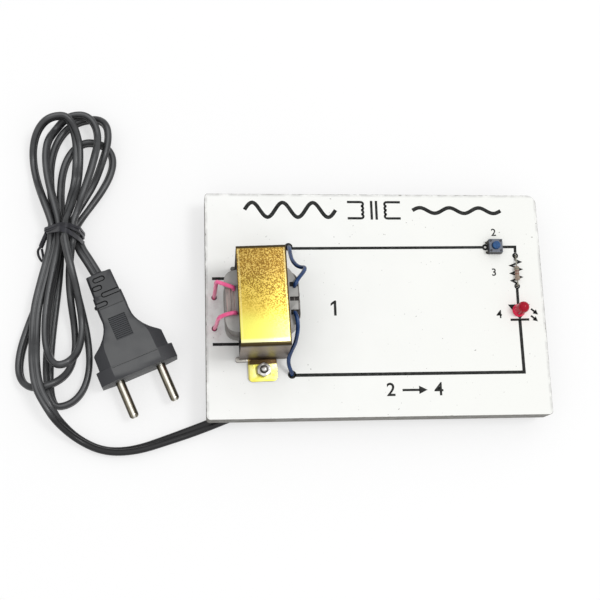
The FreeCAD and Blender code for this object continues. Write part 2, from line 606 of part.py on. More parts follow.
def build_switch_base():
    """The black moulding: a square block with a round well and four posts headed over the cover."""
    body = plate("switch_base", "Size.switch_side / 2", "Size.switch_side / 2", "Size.switch_base", DECK)
    posts = new_sketch(body, "switch_posts")
    for x, y in RIVET_PLACES:
        circle(posts, x, y, "Size.rivet_diameter")
    pad(body, posts, "Size.switch_base + Size.switch_cover + Size.rivet_proud")
    well = new_sketch(body, "switch_well", offset="Size.switch_base")
    circle(well, "0", "0", "Size.well_diameter")
    pocket(body, well, "Size.switch_base - Size.well_floor")
    place(body, "Size.switch_x", "Size.switch_y", DECK)
    return body


def build_switch_cover():
    body = plate("switch_cover", "Size.switch_side / 2", "Size.switch_side / 2", "Size.switch_cover", DECK)
    holes = new_sketch(body, "switch_cover_holes")
    circle(holes, "0", "0", "Size.button_diameter + 2 * Size.button_gap")
    for x, y in RIVET_PLACES:
        circle(holes, x, y, "Size.rivet_diameter")
    pocket(body, holes)
    place(body, "Size.switch_x", "Size.switch_y", f"{DECK} + Size.switch_base")
    return body


def build_button():
    """The blue plunger: boss on the dome, a flange kept in by the cover, and the round cap."""
    boss, flange, cap = "Size.boss_diameter / 2", "Size.button_flange / 2", "Size.button_diameter / 2"
    low = "Size.well_floor + Size.dome_height + Size.dome_gap"
    body = turned("switch_button", [
        ("0", low), (boss, low), (boss, "Size.flange_bottom"), (flange, "Size.flange_bottom"),
        (flange, "Size.flange_top"), (cap, "Size.flange_top"), (cap, "Size.button_height"),
        ("0", "Size.button_height")], "Size.switch_x", "Size.switch_y", DECK)
    top = number("Size.button_height")
    dress(body, "Fillet", "button_edge", level_at(top), "Size.button_round")
    return body


def build_dome():
    """The snap dome: a thin dished disc on the well's floor."""
    rim, crown, gauge = "Size.dome_diameter / 2", "Size.dome_diameter / 6", "Size.dome_gauge"
    height = "Size.dome_height"
    return turned("switch_dome", [
        ("0", f"{height} - {gauge}"), (crown, f"{height} - {gauge}"), (f"{rim} - 0.35", "0"), (rim, "0"),
        (rim, gauge), (f"{rim} - 0.3", gauge), (crown, height), ("0", height)],
        "Size.switch_x", "Size.switch_y", f"{DECK} + Size.well_floor")


def build_legs():
    """Four flat legs that leave the block's sides and drop into their holes."""
    legs = []
    for index, (x, y) in enumerate(SWITCH_LEGS):
        outward = 1 if "+ Size.leg_x" in x else -1
        body = new_body(f"leg_{index}")
        strip = new_sketch(body, f"leg_{index}_strip", "XZ_Plane")
        side = "" if outward > 0 else "-"
        root = "Size.switch_side / 2 - Size.leg_x"
        polygon(strip, [(f"{side}({root})", "Size.leg_root"),
                        (f"{side}({root})", "Size.leg_root - Size.leg_gauge"),
                        (f"{side}(-Size.leg_gauge / 2)", "Size.leg_root - Size.leg_gauge"),
                        (f"{side}(-Size.leg_gauge / 2)", "-Size.leg_drop"),
                        (f"{side}(Size.leg_gauge / 2)", "-Size.leg_drop"),
                        (f"{side}(Size.leg_gauge / 2)", "Size.leg_root")])
        pad(body, strip, "Size.leg_width", midplane=True)
        place(body, x, y, DECK)
        legs.append(body)
    return group("switch_legs", legs)


switch_base = build_switch_base()
switch_cover = build_switch_cover()
switch_button = build_button()
switch_dome = build_dome()
switch_legs = build_legs()


# ---------------------------------------------------------------- resistor
def build_resistor():
    """A film resistor's body: a waist between two fatter end caps."""
    half, radius = "Size.resistor_length / 2", "Size.resistor_diameter / 2"
    waist = radius + " - 0.2"
    body = turned("resistor_body", [
        ("0", f"-{half}"), (f"{radius} - 0.35", f"-{half}"), (radius, f"-{half} + 0.4"),
        (radius, f"-{half} + 1.3"), (waist, f"-{half} + 1.7"), (waist, f"{half} - 1.7"),
        (radius, f"{half} - 1.3"), (radius, f"{half} - 0.4"), (f"{radius} - 0.35", half), ("0", half)])
    dress(body, "Fillet", "resistor_body_rounds", lambda edge: edge.BoundBox.ZLength < 1e-3,
          "Size.resistor_round")
    body.Placement = FreeCAD.Placement(FreeCAD.Vector(), FreeCAD.Rotation(FreeCAD.Vector(1, 0, 0), -90))
    place(body, "Size.resistor_x", "Size.resistor_y",
          f"{DECK} + Size.resistor_diameter / 2 + 0.15")
    return body


resistor_body = build_resistor()
resistor_leads = group("resistor_leads", [
    shaped("resistor_far_wire", round_wire(RESISTOR_FAR_ROUTE, sheet.wire_diameter, sheet.wire_bend)),
    shaped("resistor_near_wire", round_wire(RESISTOR_NEAR_ROUTE, sheet.wire_diameter, sheet.wire_bend))])


# ---------------------------------------------------------------- light
def build_led():
    """The lens with its lead frame moulded in: a post and a cup on two straight legs."""
    radius, rim = "Size.led_diameter / 2", "Size.led_rim / 2"
    lens = turned("led_lens_blank", [
        ("0", "0"), (rim, "0"), (rim, "Size.led_rim_height"), (radius, "Size.led_rim_height"),
        (radius, "Size.led_height"), ("0", "Size.led_height")], "Size.led_x", "Size.led_y", DECK)
    dress(lens, "Fillet", "led_dome", level_at(number("Size.led_height")), "Size.led_dome")
    legs = []
    for index, ((x, y), tall, head) in enumerate(zip(LED_LEGS, (4.6, 4.2), (0.9, 1.5))):
        leg = doc.addObject("Part::Box", f"led_leg_{index}")
        anvil = doc.addObject("Part::Box", f"led_anvil_{index}")
        for box, across, height in ((leg, "Size.led_wire", f"{tall} + 12.4"), (anvil, str(head), "1.4")):
            box.setExpression("Length", across)
            box.setExpression("Width", across)
            box.setExpression("Height", height)
        place(leg, f"{x} - Size.led_wire / 2", f"{y} - Size.led_wire / 2", "Size.foot_height - 2.0 - 0.2")
        place(anvil, f"{x} - {head} / 2", f"{y} - {head} / 2", f"{DECK} + {tall} - 1.4")
        whole = doc.addObject("Part::Fuse", f"led_frame_{index}")
        whole.Base, whole.Tool = leg, anvil
        legs.append(whole)
    frame = group("led_leads", legs)
    cut = doc.addObject("Part::Cut", "led_lens")
    cut.Base, cut.Tool = lens, frame
    return cut, frame


led_lens, led_leads = build_led()


# ---------------------------------------------------------------- joints and the cord under the board
def build_solder():
    """Four soldered joints: two up in the switch's leg holes and two under the light."""
    wires = group("soldered_wires", [*secondary_leads, resistor_leads, led_leads, switch_legs])
    joints = []
    for index, (x, y) in enumerate([SWITCH_LEGS[1], SWITCH_LEGS[3], *LED_LEGS]):
        in_hole = index < 2
        bead = doc.addObject("Part::Cylinder", f"solder_bead_{index}")
        bead.setExpression("Radius", "Size.switch_hole / 2" if in_hole else "1.1")
        bead.Height = 1.8
        place(bead, x, y, f"{DECK} - Size.leg_drop - 0.9" if in_hole else "Size.foot_height - 1.8")
        joint = doc.addObject("Part::Cut", f"solder_joint_{index}")
        joint.Base, joint.Tool = bead, wires
        joints.append(joint)
    return group("solder_joints", joints)


def build_sleeve(name, y):
    """Heat-shrunk tube over a splice: the lead comes in at one end and the cord's core at the other."""
    half = sheet.sleeve_length / 2
    centre = FreeCAD.Vector(sheet.sleeve_x, y, sheet.foot_height - sheet.wire_drop)
    along = FreeCAD.Vector(1, 0, 0)
    tube = Part.makeCylinder(sheet.sleeve_diameter / 2, 2 * half, centre - along * half, along)
    lead = Part.makeCylinder(sheet.lead_diameter / 2, half, centre - along * half, along)
    core = Part.makeCylinder(sheet.core_diameter / 2, half, centre, along)
    return shaped(name, tube.cut(lead).cut(core))


def build_clip():
    """A saddle that folds round the cord and is held by one screw on its inner side."""
    body = new_body("cord_clip")
    loop = new_sketch(body, "clip_loop", "YZ_Plane")
    half, low, gauge = "Size.cord_width / 2", "-Size.cord_height - 0.05", "Size.clip_gauge"
    polygon(loop, [(f"-{half} - {gauge}", "0"), (f"-{half} - {gauge}", f"{low} - {gauge}"),
                   (f"{half} + {gauge}", f"{low} - {gauge}"), (f"{half} + {gauge}", f"-{gauge}"),
                   (f"{half} + {gauge} + Size.clip_tab", f"-{gauge}"),
                   (f"{half} + {gauge} + Size.clip_tab", "0"), (half, "0"), (half, low),
                   (f"-{half}", low), (f"-{half}", "0")])
    pad(body, loop, "Size.clip_width", midplane=True)
    hole = new_sketch(body, "clip_hole")
    circle(hole, "0", "Size.clip_screw_reach", "Size.screw_diameter")
    pocket(body, hole)
    place(body, "Size.clip_x", "Size.clip_y", "Size.foot_height", "Size.clip_angle")
    return body


def build_clip_screw():
    """A short wood screw, head down, its shank up in the board."""
    radius = "Size.screw_diameter / 2"
    return turned("cord_clip_screw", [
        ("0", "-Size.clip_gauge - Size.screw_head_height"),
        ("Size.screw_head / 2 - 0.5", "-Size.clip_gauge - Size.screw_head_height"),
        ("Size.screw_head / 2", "-Size.clip_gauge"), (radius, "-Size.clip_gauge"),
        (radius, "Size.screw_length - 2"), ("0", "Size.screw_length - 2")], *CLIP_SCREW_PLACE,
        "Size.foot_height")


solder_joints = build_solder()
splice_sleeves = group("splice_sleeves", [build_sleeve("sleeve_a", sheet.primary_a_y),
                                          build_sleeve("sleeve_b", sheet.primary_b_y)])
cord_clip = build_clip()
cord_clip_screw = build_clip_screw()
cord_tail = flat_cord("cord_tail", CORD_TAIL_ROUTE, sheet.cord_width, sheet.cord_height)
cord_cores = group("cord_cores", [
    shaped("core_a", round_wire(CORE_A_ROUTE, sheet.core_diameter, sheet.core_bend)),
    shaped("core_b", round_wire(CORE_B_ROUTE, sheet.core_diameter, sheet.core_bend))])


# ---------------------------------------------------------------- free cord, hank and tie
def build_lobe(start, lobe, end):
    """One bunch of loops seen as a slab: two arcs round the far end, two straight sides to the waist."""
    start, end = FreeCAD.Vector(*start, 0), FreeCAD.Vector(*end, 0)
    near_left, left, top, right, near_right = [FreeCAD.Vector(x, y, 0) for x, y in lobe]
    outline = Part.Wire([
        Part.LineSegment(start, near_left).toShape(), Part.Arc(near_left, left, top).toShape(),
        Part.Arc(top, right, near_right).toShape(), Part.LineSegment(near_right, end).toShape(),
        Part.LineSegment(end, start).toShape()])
    return Part.Face(outline).extrude(FreeCAD.Vector(0, 0, sheet.hank_height))


def build_hank_and_tie():
    """The folded cord's outer shape, drawn in at the waist, and the band that fills the waist."""
    left, right, gauge, height = sheet.waist_left, sheet.waist_right, sheet.tie_gauge, sheet.hank_height
    upper, lower = sheet.tie_y + sheet.tie_width / 2, sheet.tie_y - sheet.tie_width / 2
    upper_lobe = build_lobe((left, upper), UPPER_LOBE, (right, upper))
    lower_lobe = build_lobe((right, lower), LOWER_LOBE, (left, lower))
    waist = Part.makeBox(right - left - 2 * gauge, upper - lower, height - 2 * gauge,
                         FreeCAD.Vector(left + gauge, lower, gauge))
    block = Part.makeBox(right - left, upper - lower, height, FreeCAD.Vector(left, lower, 0))
    tail = round_wire(TIE_TAIL_ROUTE, sheet.tie_tail)
    return upper_lobe.fuse([waist, lower_lobe]), block.cut(waist).fuse(tail)


hank_shape, tie_shape = build_hank_and_tie()
cord_hank = shaped("cord_hank", hank_shape)
cord_tie = shaped("cord_tie", tie_shape)
cord_lead = flat_cord("cord_lead", CORD_LEAD_ROUTE, sheet.cord_width, sheet.cord_height)
plug_cord = flat_cord("plug_cord", PLUG_CORD_ROUTE, sheet.cord_width, sheet.cord_height)


# ---------------------------------------------------------------- plug
# Slots that let the neck flex, on its top and under side: place along the neck, and both ends across it.
TOP_RELIEFS = [(2.7, -3.0, 3.0), (6.4, -7.0, -0.6), (10.2, -1.6, 7.0), (14.0, -7.0, 0.4)]
UNDER_RELIEFS = [(4.6, -3.0, 3.0), (8.3, -1.6, 7.0), (12.1, -7.0, 0.4)]


def at_plug(item):
    place(item, "Size.plug_x", "Size.plug_y", "Size.plug_axis_height", "Size.plug_angle")
    return item


def build_plug_body():
    """The moulding: slotted neck, flared body with sloping wings, ribbed grip and a rim at the face."""
    body = new_body("plug_body")
    neck = new_sketch(body, "plug_neck")
    rectangle(neck, "0", "-Size.neck_half", "Size.neck_length + 4", "Size.neck_half")
    pad(body, neck, "Size.neck_thickness", midplane=True)
    collar = new_sketch(body, "plug_collar")
    rectangle(collar, "-Size.collar_length", "-Size.collar_half", "1", "Size.collar_half")
    pad(body, collar, "Size.collar_thickness", midplane=True)
    flare = new_sketch(body, "plug_flare")
    polygon(flare, [("Size.neck_length", "-Size.neck_half"), ("Size.flare_end", "-Size.body_half"),
                    ("Size.rim_start + 1", "-Size.body_half"), ("Size.rim_start + 1", "Size.body_half"),
                    ("Size.flare_end", "Size.body_half"), ("Size.neck_length", "Size.neck_half")])
    pad(body, flare, "Size.body_thickness", midplane=True)
    rim = new_sketch(body, "plug_rim")
    rectangle(rim, "Size.rim_start", "-Size.rim_half", "Size.rim_end", "Size.rim_half")
    pad(body, rim, "Size.rim_thickness", midplane=True)
    hollows = new_sketch(body, "plug_flare_hollows")
    for side in ("", "-"):
        circle(hollows, "Size.neck_length", f"{side}(Size.neck_half + Size.flare_radius)",
               "2 * Size.flare_radius")
    pocket(body, hollows)
    wings = new_sketch(body, "plug_wings", "YZ_Plane")
    top, edge = "Size.rim_thickness / 2", "Size.rim_half"
    for across in ("", "-"):
        for up in ("", "-"):
            polygon(wings, [(f"{across}Size.panel_half", f"{up}({top} + 0.01)"),
                            (f"{across}({edge} + 1)", f"{up}({top} + 0.01)"),
                            (f"{across}({edge} + 1)", f"{up}({top} - Size.wing_drop)")])
    pocket(body, wings)
    dress(body, "Fillet", "plug_neck_rounds",
          lambda e: e.BoundBox.XLength > 10 and e.BoundBox.YLength < 1e-3
          and abs(abs(e.BoundBox.YMin) - number("Size.neck_half")) < 1e-3, "Size.neck_round")
    outline = number("Size.rim_end")
    dress(body, "Fillet", "plug_rim_corners",
          lambda e: upright(e) and e.BoundBox.XMin > outline - 0.1, "Size.rim_corner")
    reliefs = new_sketch(body, "plug_reliefs", offset="Size.neck_thickness / 2")
    half = "Size.relief_width / 2"
    for along, low, high in TOP_RELIEFS:
        rectangle(reliefs, f"{along} - {half}", str(low), f"{along} + {half}", str(high))
    pocket(body, reliefs, "Size.relief_depth")
    under = new_sketch(body, "plug_under_reliefs", offset="-Size.neck_thickness / 2")
    for along, low, high in UNDER_RELIEFS:
        rectangle(under, f"{along} - {half}", str(low), f"{along} + {half}", str(high))
    pocket(body, under, "Size.relief_depth")
    groove = new_sketch(body, "plug_grip", offset="Size.body_thickness / 2")
    rectangle(groove, "Size.rib_start", "-Size.rib_half", "Size.rib_start + Size.rib_gap", "Size.rib_half")
    cut = pocket(body, groove, "Size.rib_depth")
    ribs = body.newObject("PartDesign::LinearPattern", "plug_grip_ribs")
    ribs.Originals = [cut]
    ribs.Direction = (groove, ["H_Axis"])
    ribs.setExpression("Length", "10 * Size.rib_pitch")
    ribs.Occurrences = 11
    body.Tip = ribs
    doc.recompute()
    carrier_room = new_sketch(body, "plug_carrier_room")
    rectangle(carrier_room, "Size.carrier_start", "-Size.carrier_half",
              "Size.carrier_start + Size.carrier_length", "Size.carrier_half")
    pocket(body, carrier_room, "Size.carrier_thickness / 2")
    pin_holes = new_sketch(body, "plug_pin_holes", "YZ_Plane", "Size.rim_end")
    for side in ("", "-"):
        circle(pin_holes, f"{side}Size.pin_pitch / 2", "0", "Size.pin_root")
    pocket(body, pin_holes, "Size.rim_end - Size.pin_start")
    return at_plug(body)


def build_carrier():
    """The hard inner bar that holds the two pins parallel."""
    body = new_body("plug_pin_carrier")
    bar = new_sketch(body, "carrier_bar")
    rectangle(bar, "Size.carrier_start", "-Size.carrier_half",
              "Size.carrier_start + Size.carrier_length", "Size.carrier_half")
    pad(body, bar, "Size.carrier_thickness", midplane=True)
    holes = new_sketch(body, "carrier_holes", "YZ_Plane", "Size.rim_end")
    for side in ("", "-"):
        circle(holes, f"{side}Size.pin_pitch / 2", "0", "Size.pin_root")
    pocket(body, holes, "Size.rim_end - Size.pin_start")
    return at_plug(body)


def build_pins():
    """Round pins with rounded ends, each on a thinner root that the carrier holds."""
    pins = []
    for index, side in enumerate(("", "-")):
        body = new_body(f"plug_pin_{index}")
        for part, start, end, diameter in (("root", "Size.pin_start", "Size.rim_end + 1", "Size.pin_root"),
                                           ("pin", "Size.rim_end", "Size.rim_end + Size.pin_reach",
                                            "Size.pin_diameter")):
            section = new_sketch(body, f"plug_{part}_{index}_section", "YZ_Plane", start)
            circle(section, f"{side}Size.pin_pitch / 2", "0", diameter)
            pad(body, section, f"{end} - ({start})")
        tip = number("Size.rim_end + Size.pin_reach") - 1e-3
        dress(body, "Fillet", f"plug_pin_{index}_tip", lambda e: e.BoundBox.XMin > tip, "Size.pin_round")
        pins.append(at_plug(body))
    return group("plug_pins", pins)


plug_body = build_plug_body()
plug_pin_carrier = build_carrier()
plug_pins = build_pins()

# ---------------------------------------------------------------- checks and export
NODES = [base_board, printed_sheet, board_feet, transformer_frame, core_e, core_i, bobbin, primary_winding,
         interlayer_tape, secondary_winding, outer_tape, *primary_leads, *secondary_leads, mounting_bolts,
         mounting_nuts, mounting_washers, switch_base, switch_cover, switch_button, switch_dome, switch_legs,
         resistor_body, resistor_leads, led_lens, led_leads, solder_joints, splice_sleeves, cord_clip,
         cord_clip_screw, cord_tail, cord_cores, cord_lead, cord_hank, plug_cord, cord_tie, plug_body,
         plug_pin_carrier, plug_pins]

doc.recompute()
for item in doc.Objects:
    if "Invalid" in item.State or "Error" in item.State:
        raise RuntimeError(f"{item.Name} failed: {item.State}")
for node in NODES:
    if node.Shape.isNull() or not node.Shape.isValid() or not node.Shape.Solids:
        raise RuntimeError(f"{node.Label} has no valid solid")

os.makedirs("parts", exist_ok=True)
for node in NODES:
    node.Shape.exportStep(os.path.join("parts", node.Label + ".step"))
    box = node.Shape.BoundBox
    print(f"{node.Label:20s} solids {len(node.Shape.Solids)}  volume {node.Shape.Volume:9.1f}"
          f"  from ({box.XMin:.1f}, {box.YMin:.1f}, {box.ZMin:.1f})"
          f" to ({box.XMax:.1f}, {box.YMax:.1f}, {box.ZMax:.1f})")
print(len(NODES), "nodes written")
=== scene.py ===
from math import atan2, ceil, copysign, cos, pi, radians, sin, sqrt

import bmesh
import bpy
from mathutils import Matrix, Vector, geometry, noise


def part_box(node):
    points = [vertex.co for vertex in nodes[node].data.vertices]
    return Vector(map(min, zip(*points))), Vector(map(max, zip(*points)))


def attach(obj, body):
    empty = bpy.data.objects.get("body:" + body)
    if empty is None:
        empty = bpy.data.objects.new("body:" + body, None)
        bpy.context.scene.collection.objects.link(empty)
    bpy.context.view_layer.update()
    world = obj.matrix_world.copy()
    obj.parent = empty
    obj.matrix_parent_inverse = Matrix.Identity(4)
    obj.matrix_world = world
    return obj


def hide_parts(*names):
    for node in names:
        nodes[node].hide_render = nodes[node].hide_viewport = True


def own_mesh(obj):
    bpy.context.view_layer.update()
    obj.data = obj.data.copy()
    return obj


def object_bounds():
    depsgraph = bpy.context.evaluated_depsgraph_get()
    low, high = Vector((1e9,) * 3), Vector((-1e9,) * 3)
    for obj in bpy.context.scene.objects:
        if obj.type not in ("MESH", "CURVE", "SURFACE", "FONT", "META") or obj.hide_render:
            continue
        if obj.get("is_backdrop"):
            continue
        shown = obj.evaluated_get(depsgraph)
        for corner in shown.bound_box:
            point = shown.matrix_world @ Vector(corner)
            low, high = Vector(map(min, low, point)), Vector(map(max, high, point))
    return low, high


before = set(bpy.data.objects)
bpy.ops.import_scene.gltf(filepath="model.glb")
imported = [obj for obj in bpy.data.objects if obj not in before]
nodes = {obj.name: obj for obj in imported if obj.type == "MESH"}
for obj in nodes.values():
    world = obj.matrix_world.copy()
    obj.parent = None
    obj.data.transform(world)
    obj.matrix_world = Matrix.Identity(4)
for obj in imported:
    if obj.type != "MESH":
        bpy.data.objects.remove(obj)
cad_low, cad_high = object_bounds()

# ------------------------------------------------------------------ camera
# It stands over the table a little to the left of the board and looks down at it from in front. Its place
# and its two directions are in the frame's metres.
CAMERA_AT, LENS_MM = (-0.08423, -0.10704, 0.46499), 64.2
CAMERA_AHEAD, CAMERA_UP = (0.1079, 0.23376, -0.96629), (0.00457, 0.97184, 0.23561)


def new_object(name, data):
    """An object with this data, in the scene and at the origin."""
    made = bpy.data.objects.new(name, data)
    bpy.context.scene.collection.objects.link(made)
    return made


camera = new_object("camera", bpy.data.cameras.new("camera"))
camera.data.sensor_width, camera.data.lens = 36.0, LENS_MM
ahead, up = Vector(CAMERA_AHEAD).normalized(), Vector(CAMERA_UP).normalized()
camera.matrix_world = (Matrix.Translation(CAMERA_AT)
                       @ Matrix((ahead.cross(up).normalized(), up, -ahead)).transposed().to_4x4())
bpy.context.scene.camera = camera


# ------------------------------------------------------------------ mains cord
# A flat two-core flexible cord, black PVC with a groove down the middle of each face. It comes out under
# the board's front left corner, lies on the table, is folded up and down through the tie and ends in the
# plug. In the folds it stands on edge, because it bends most easily across its thin side.
def mm(size):
    """Millimetres as metres, for a number or for points in a list."""
    return type(size)(mm(part) for part in size) if isinstance(size, (list, tuple)) else round(size / 1000, 9)


CORD_WIDTH = 0.0049
CORD_HEIGHT = 0.0029
CORD_WEB = 0.00105
CORD_LEAD = mm([(-58.36, -44.91, 4.5), (-64.6, -47.08, 4.5), (-72, -49.9, 3.6), (-80, -52.7, 2.2),
                (-89.6, -56, 1.5), (-104.8, -60.9, 1.5), (-117.8, -61.2, 1.5), (-128.6, -56.2, 1.5),
                (-136.6, -49.2, 2), (-140.6, -43, 2.6)])
LEAD_LEANS = [90, 90, 90, 78, 58, 36, 22, 22, 42, 70]
CORD_CLIMB = mm([(-145.6, -34.2), (-147.2, -23), (-147.8, -11.7), (-147.7, -0.2), (-145.4, 11), (-142.7, 22.1),
                 (-141.2, 29.5)])
CORD_TO_PLUG = mm([(-129.6, 27.7, 6.2), (-125.8, 22.1, 7), (-122.09, 15.82, 7)])
WAIST_TOP, WAIST_LOW = 0.0375, 0.0300
POINTS_A_FOLD = 18
# Each fold: the side it comes in on, how far it bulges, its far end (x, y), and the side it leaves on.
UPPER_FOLDS = [
    {"enter": -0.1413, "first": 0.0127, "far": (-0.1382, 0.0877), "second": 0.0068, "leave": -0.1352},
    {"enter": -0.1383, "first": 0.0128, "far": (-0.1303, 0.0902), "second": 0.0091, "leave": -0.1321},
    {"enter": -0.1413, "first": 0.0124, "far": (-0.1259, 0.0900), "second": 0.0110, "leave": -0.1352},
    {"enter": -0.1383, "first": 0.0080, "far": (-0.1265, 0.0788), "second": 0.0127, "leave": -0.1321}]
LOWER_FOLDS = [
    {"first": 0.0086, "far": (-0.1363, -0.0256), "second": 0.0066, "slow": 1.6},
    {"first": 0.0127, "far": (-0.1464, -0.0345), "second": 0.0099, "slow": 3.0},
    {"first": 0.0126, "far": (-0.1376, -0.0420), "second": 0.0049, "slow": 2.0}]
FLAT, NEARLY_ON_EDGE, WAIST_LEAN = pi / 2, radians(25), radians(20)
# Strands whose middles come nearer than this lie on one another; the cord climbs no steeper than this, and
# its next few stretches never count as a crossing.
TOUCHING, STEEPEST, NEXT_STRETCHES = 0.0026, 0.55, 5


def fold_points(fold, waist, enter, leave, lies_flat):
    """One fold as a drop shape: out from the waist, round the far end and back, there flat or nearly on edge."""
    (far_x, far_y), slow = fold["far"], fold.get("slow", 1.5)
    middle, half = (enter + leave) / 2, (leave - enter) / 2
    outward, back_lean = 1 if leave > enter else -1, FLAT if lies_flat else NEARLY_ON_EDGE
    peak = 2 * (slow + 1) ** ((slow + 1) / 2) / (slow + 2) ** ((slow + 2) / 2)
    for step in range(POINTS_A_FOLD + 1):
        turn = 2 * pi * step / POINTS_A_FOLD
        reach = (1 - cos(turn)) / 2
        bulge = sin(turn) * sin(turn / 2) ** slow / peak
        bulge *= fold["first"] if turn < pi else fold["second"]
        across = middle + (far_x - middle) * reach - (1 - reach) * half * cos(turn / 2) - outward * bulge
        lean = back_lean * sin(turn) ** 2 if turn > pi else WAIST_LEAN * cos(turn / 2) ** 2
        yield across, waist + (far_y - waist) * reach, 0.0, lean


def half_height(lean):
    return (CORD_WIDTH * cos(lean) + CORD_HEIGHT * sin(lean)) / 2


def lay_cord():
    """Every control point of the cord as (x, y, z, lean), strands lifted where they cross others."""
    line = [(*point, radians(lean)) for point, lean in zip(CORD_LEAD, LEAD_LEANS)]
    line += [(*point, 0.0, FLAT) for point in CORD_CLIMB]
    for number, fold in enumerate(UPPER_FOLDS):
        line += fold_points(fold, WAIST_TOP, fold["enter"], fold["leave"], number == 0)
        if number < len(LOWER_FOLDS):
            following = UPPER_FOLDS[number + 1]["enter"]
            line += fold_points(LOWER_FOLDS[number], WAIST_LOW, fold["leave"], following, number == 2)
    return settle(line + [(*point, FLAT) for point in CORD_TO_PLUG])


def strand_gap(a, b, c, d):
    """How near two stretches of cord come, seen from above."""
    if geometry.intersect_line_line_2d(a, b, c, d):
        return 0.0
    gaps = []
    for point, start, end in ((a, c, d), (b, c, d), (c, a, b), (d, a, b)):
        share = geometry.intersect_point_line(point, start, end)[1]
        gaps.append((point - start.lerp(end, min(1.0, max(0.0, share)))).length)
    return min(gaps)


def settle(line):
    """From the plug back to the board, each stretch lies on the table or over what already lies there."""
    flat = [Vector(point[:2]) for point in line]
    half = [half_height(point[3]) for point in line]
    height = [max(point[2], own) for point, own in zip(line, half)]
    for upper in range(len(line) - 2, -1, -1):
        for lower in range(upper + NEXT_STRETCHES, len(line) - 1):
            if strand_gap(flat[upper], flat[upper + 1], flat[lower], flat[lower + 1]) <= TOUCHING:
                top = max(height[lower], height[lower + 1]) + half[lower]
                for end in (upper, upper + 1):
                    height[end] = max(height[end], top + half[end])
    for _ in range(3):
        for order in (range(1, len(line)), range(len(line) - 1, 0, -1)):
            for index in order:
                slope = STEEPEST * (flat[index] - flat[index - 1]).length
                height[index] = max(height[index], height[index - 1] - slope)
                height[index - 1] = max(height[index - 1], height[index] - slope)
    return [(x, y, z, lean) for (x, y, _, lean), z in zip(line, height)]


def spline_curve(name, points, tilts=None, radius=0.0, roundness=0, fineness=8):
    """An open smooth curve with the points as its control points, a wire if it has a radius."""
    data = bpy.data.curves.new(name, "CURVE")
    data.dimensions, data.twist_mode, data.use_fill_caps = "3D", "Z_UP", True
    data.resolution_u, data.bevel_depth, data.bevel_resolution = fineness, radius, roundness
    spline = data.splines.new("NURBS")
    spline.points.add(len(points) - 1)
    for point, spot, tilt in zip(spline.points, points, tilts or [0.0] * len(points)):
        point.co, point.tilt = (*spot, 1.0), tilt
    spline.order_u, spline.use_endpoint_u = 3, True
    return new_object(name, data)


def curve_line(curve):
    """The points that the curve passes through, in order."""
    bpy.context.view_layer.update()
    mesh = bpy.data.meshes.new_from_object(curve)
    line = [vertex.co.copy() for vertex in mesh.vertices]
    bpy.data.meshes.remove(mesh)
    return line


def made_solid(curve):
    """The curve's bevelled or filled surface as a mesh piece of the same name; the curve goes."""
    name = curve.name
    curve.name = name + "_route"
    bpy.context.view_layer.update()
    mesh = bpy.data.meshes.new_from_object(curve.evaluated_get(bpy.context.evaluated_depsgraph_get()))
    bpy.data.objects.remove(curve)
    return new_object(name, mesh)


def closed_outline(name, *outlines):
    """A flat curve of closed outlines, each a list of (x, y) points."""
    data = bpy.data.curves.new(name, "CURVE")
    data.dimensions = "2D"
    for outline in outlines:
        spline = data.splines.new("POLY")
        spline.points.add(len(outline) - 1)
        for point, spot in zip(spline.points, outline):
            point.co = (*spot, 0.0, 1.0)
        spline.use_cyclic_u = True
    return new_object(name, data)


def cord_section():
    """The cord's outline across: two round cores side by side with a groove between them."""
    core, offset, outline = CORD_HEIGHT / 2, (CORD_WIDTH - CORD_HEIGHT) / 2, []
    for side, start in ((1, 0.0), (-1, pi)):
        for step in range(11):
            angle = radians(-125 + 25 * step) + start
            outline.append((side * offset + core * cos(angle), core * sin(angle)))
        outline.append((0.0, side * CORD_WEB))
    return closed_outline("cord_section", outline)


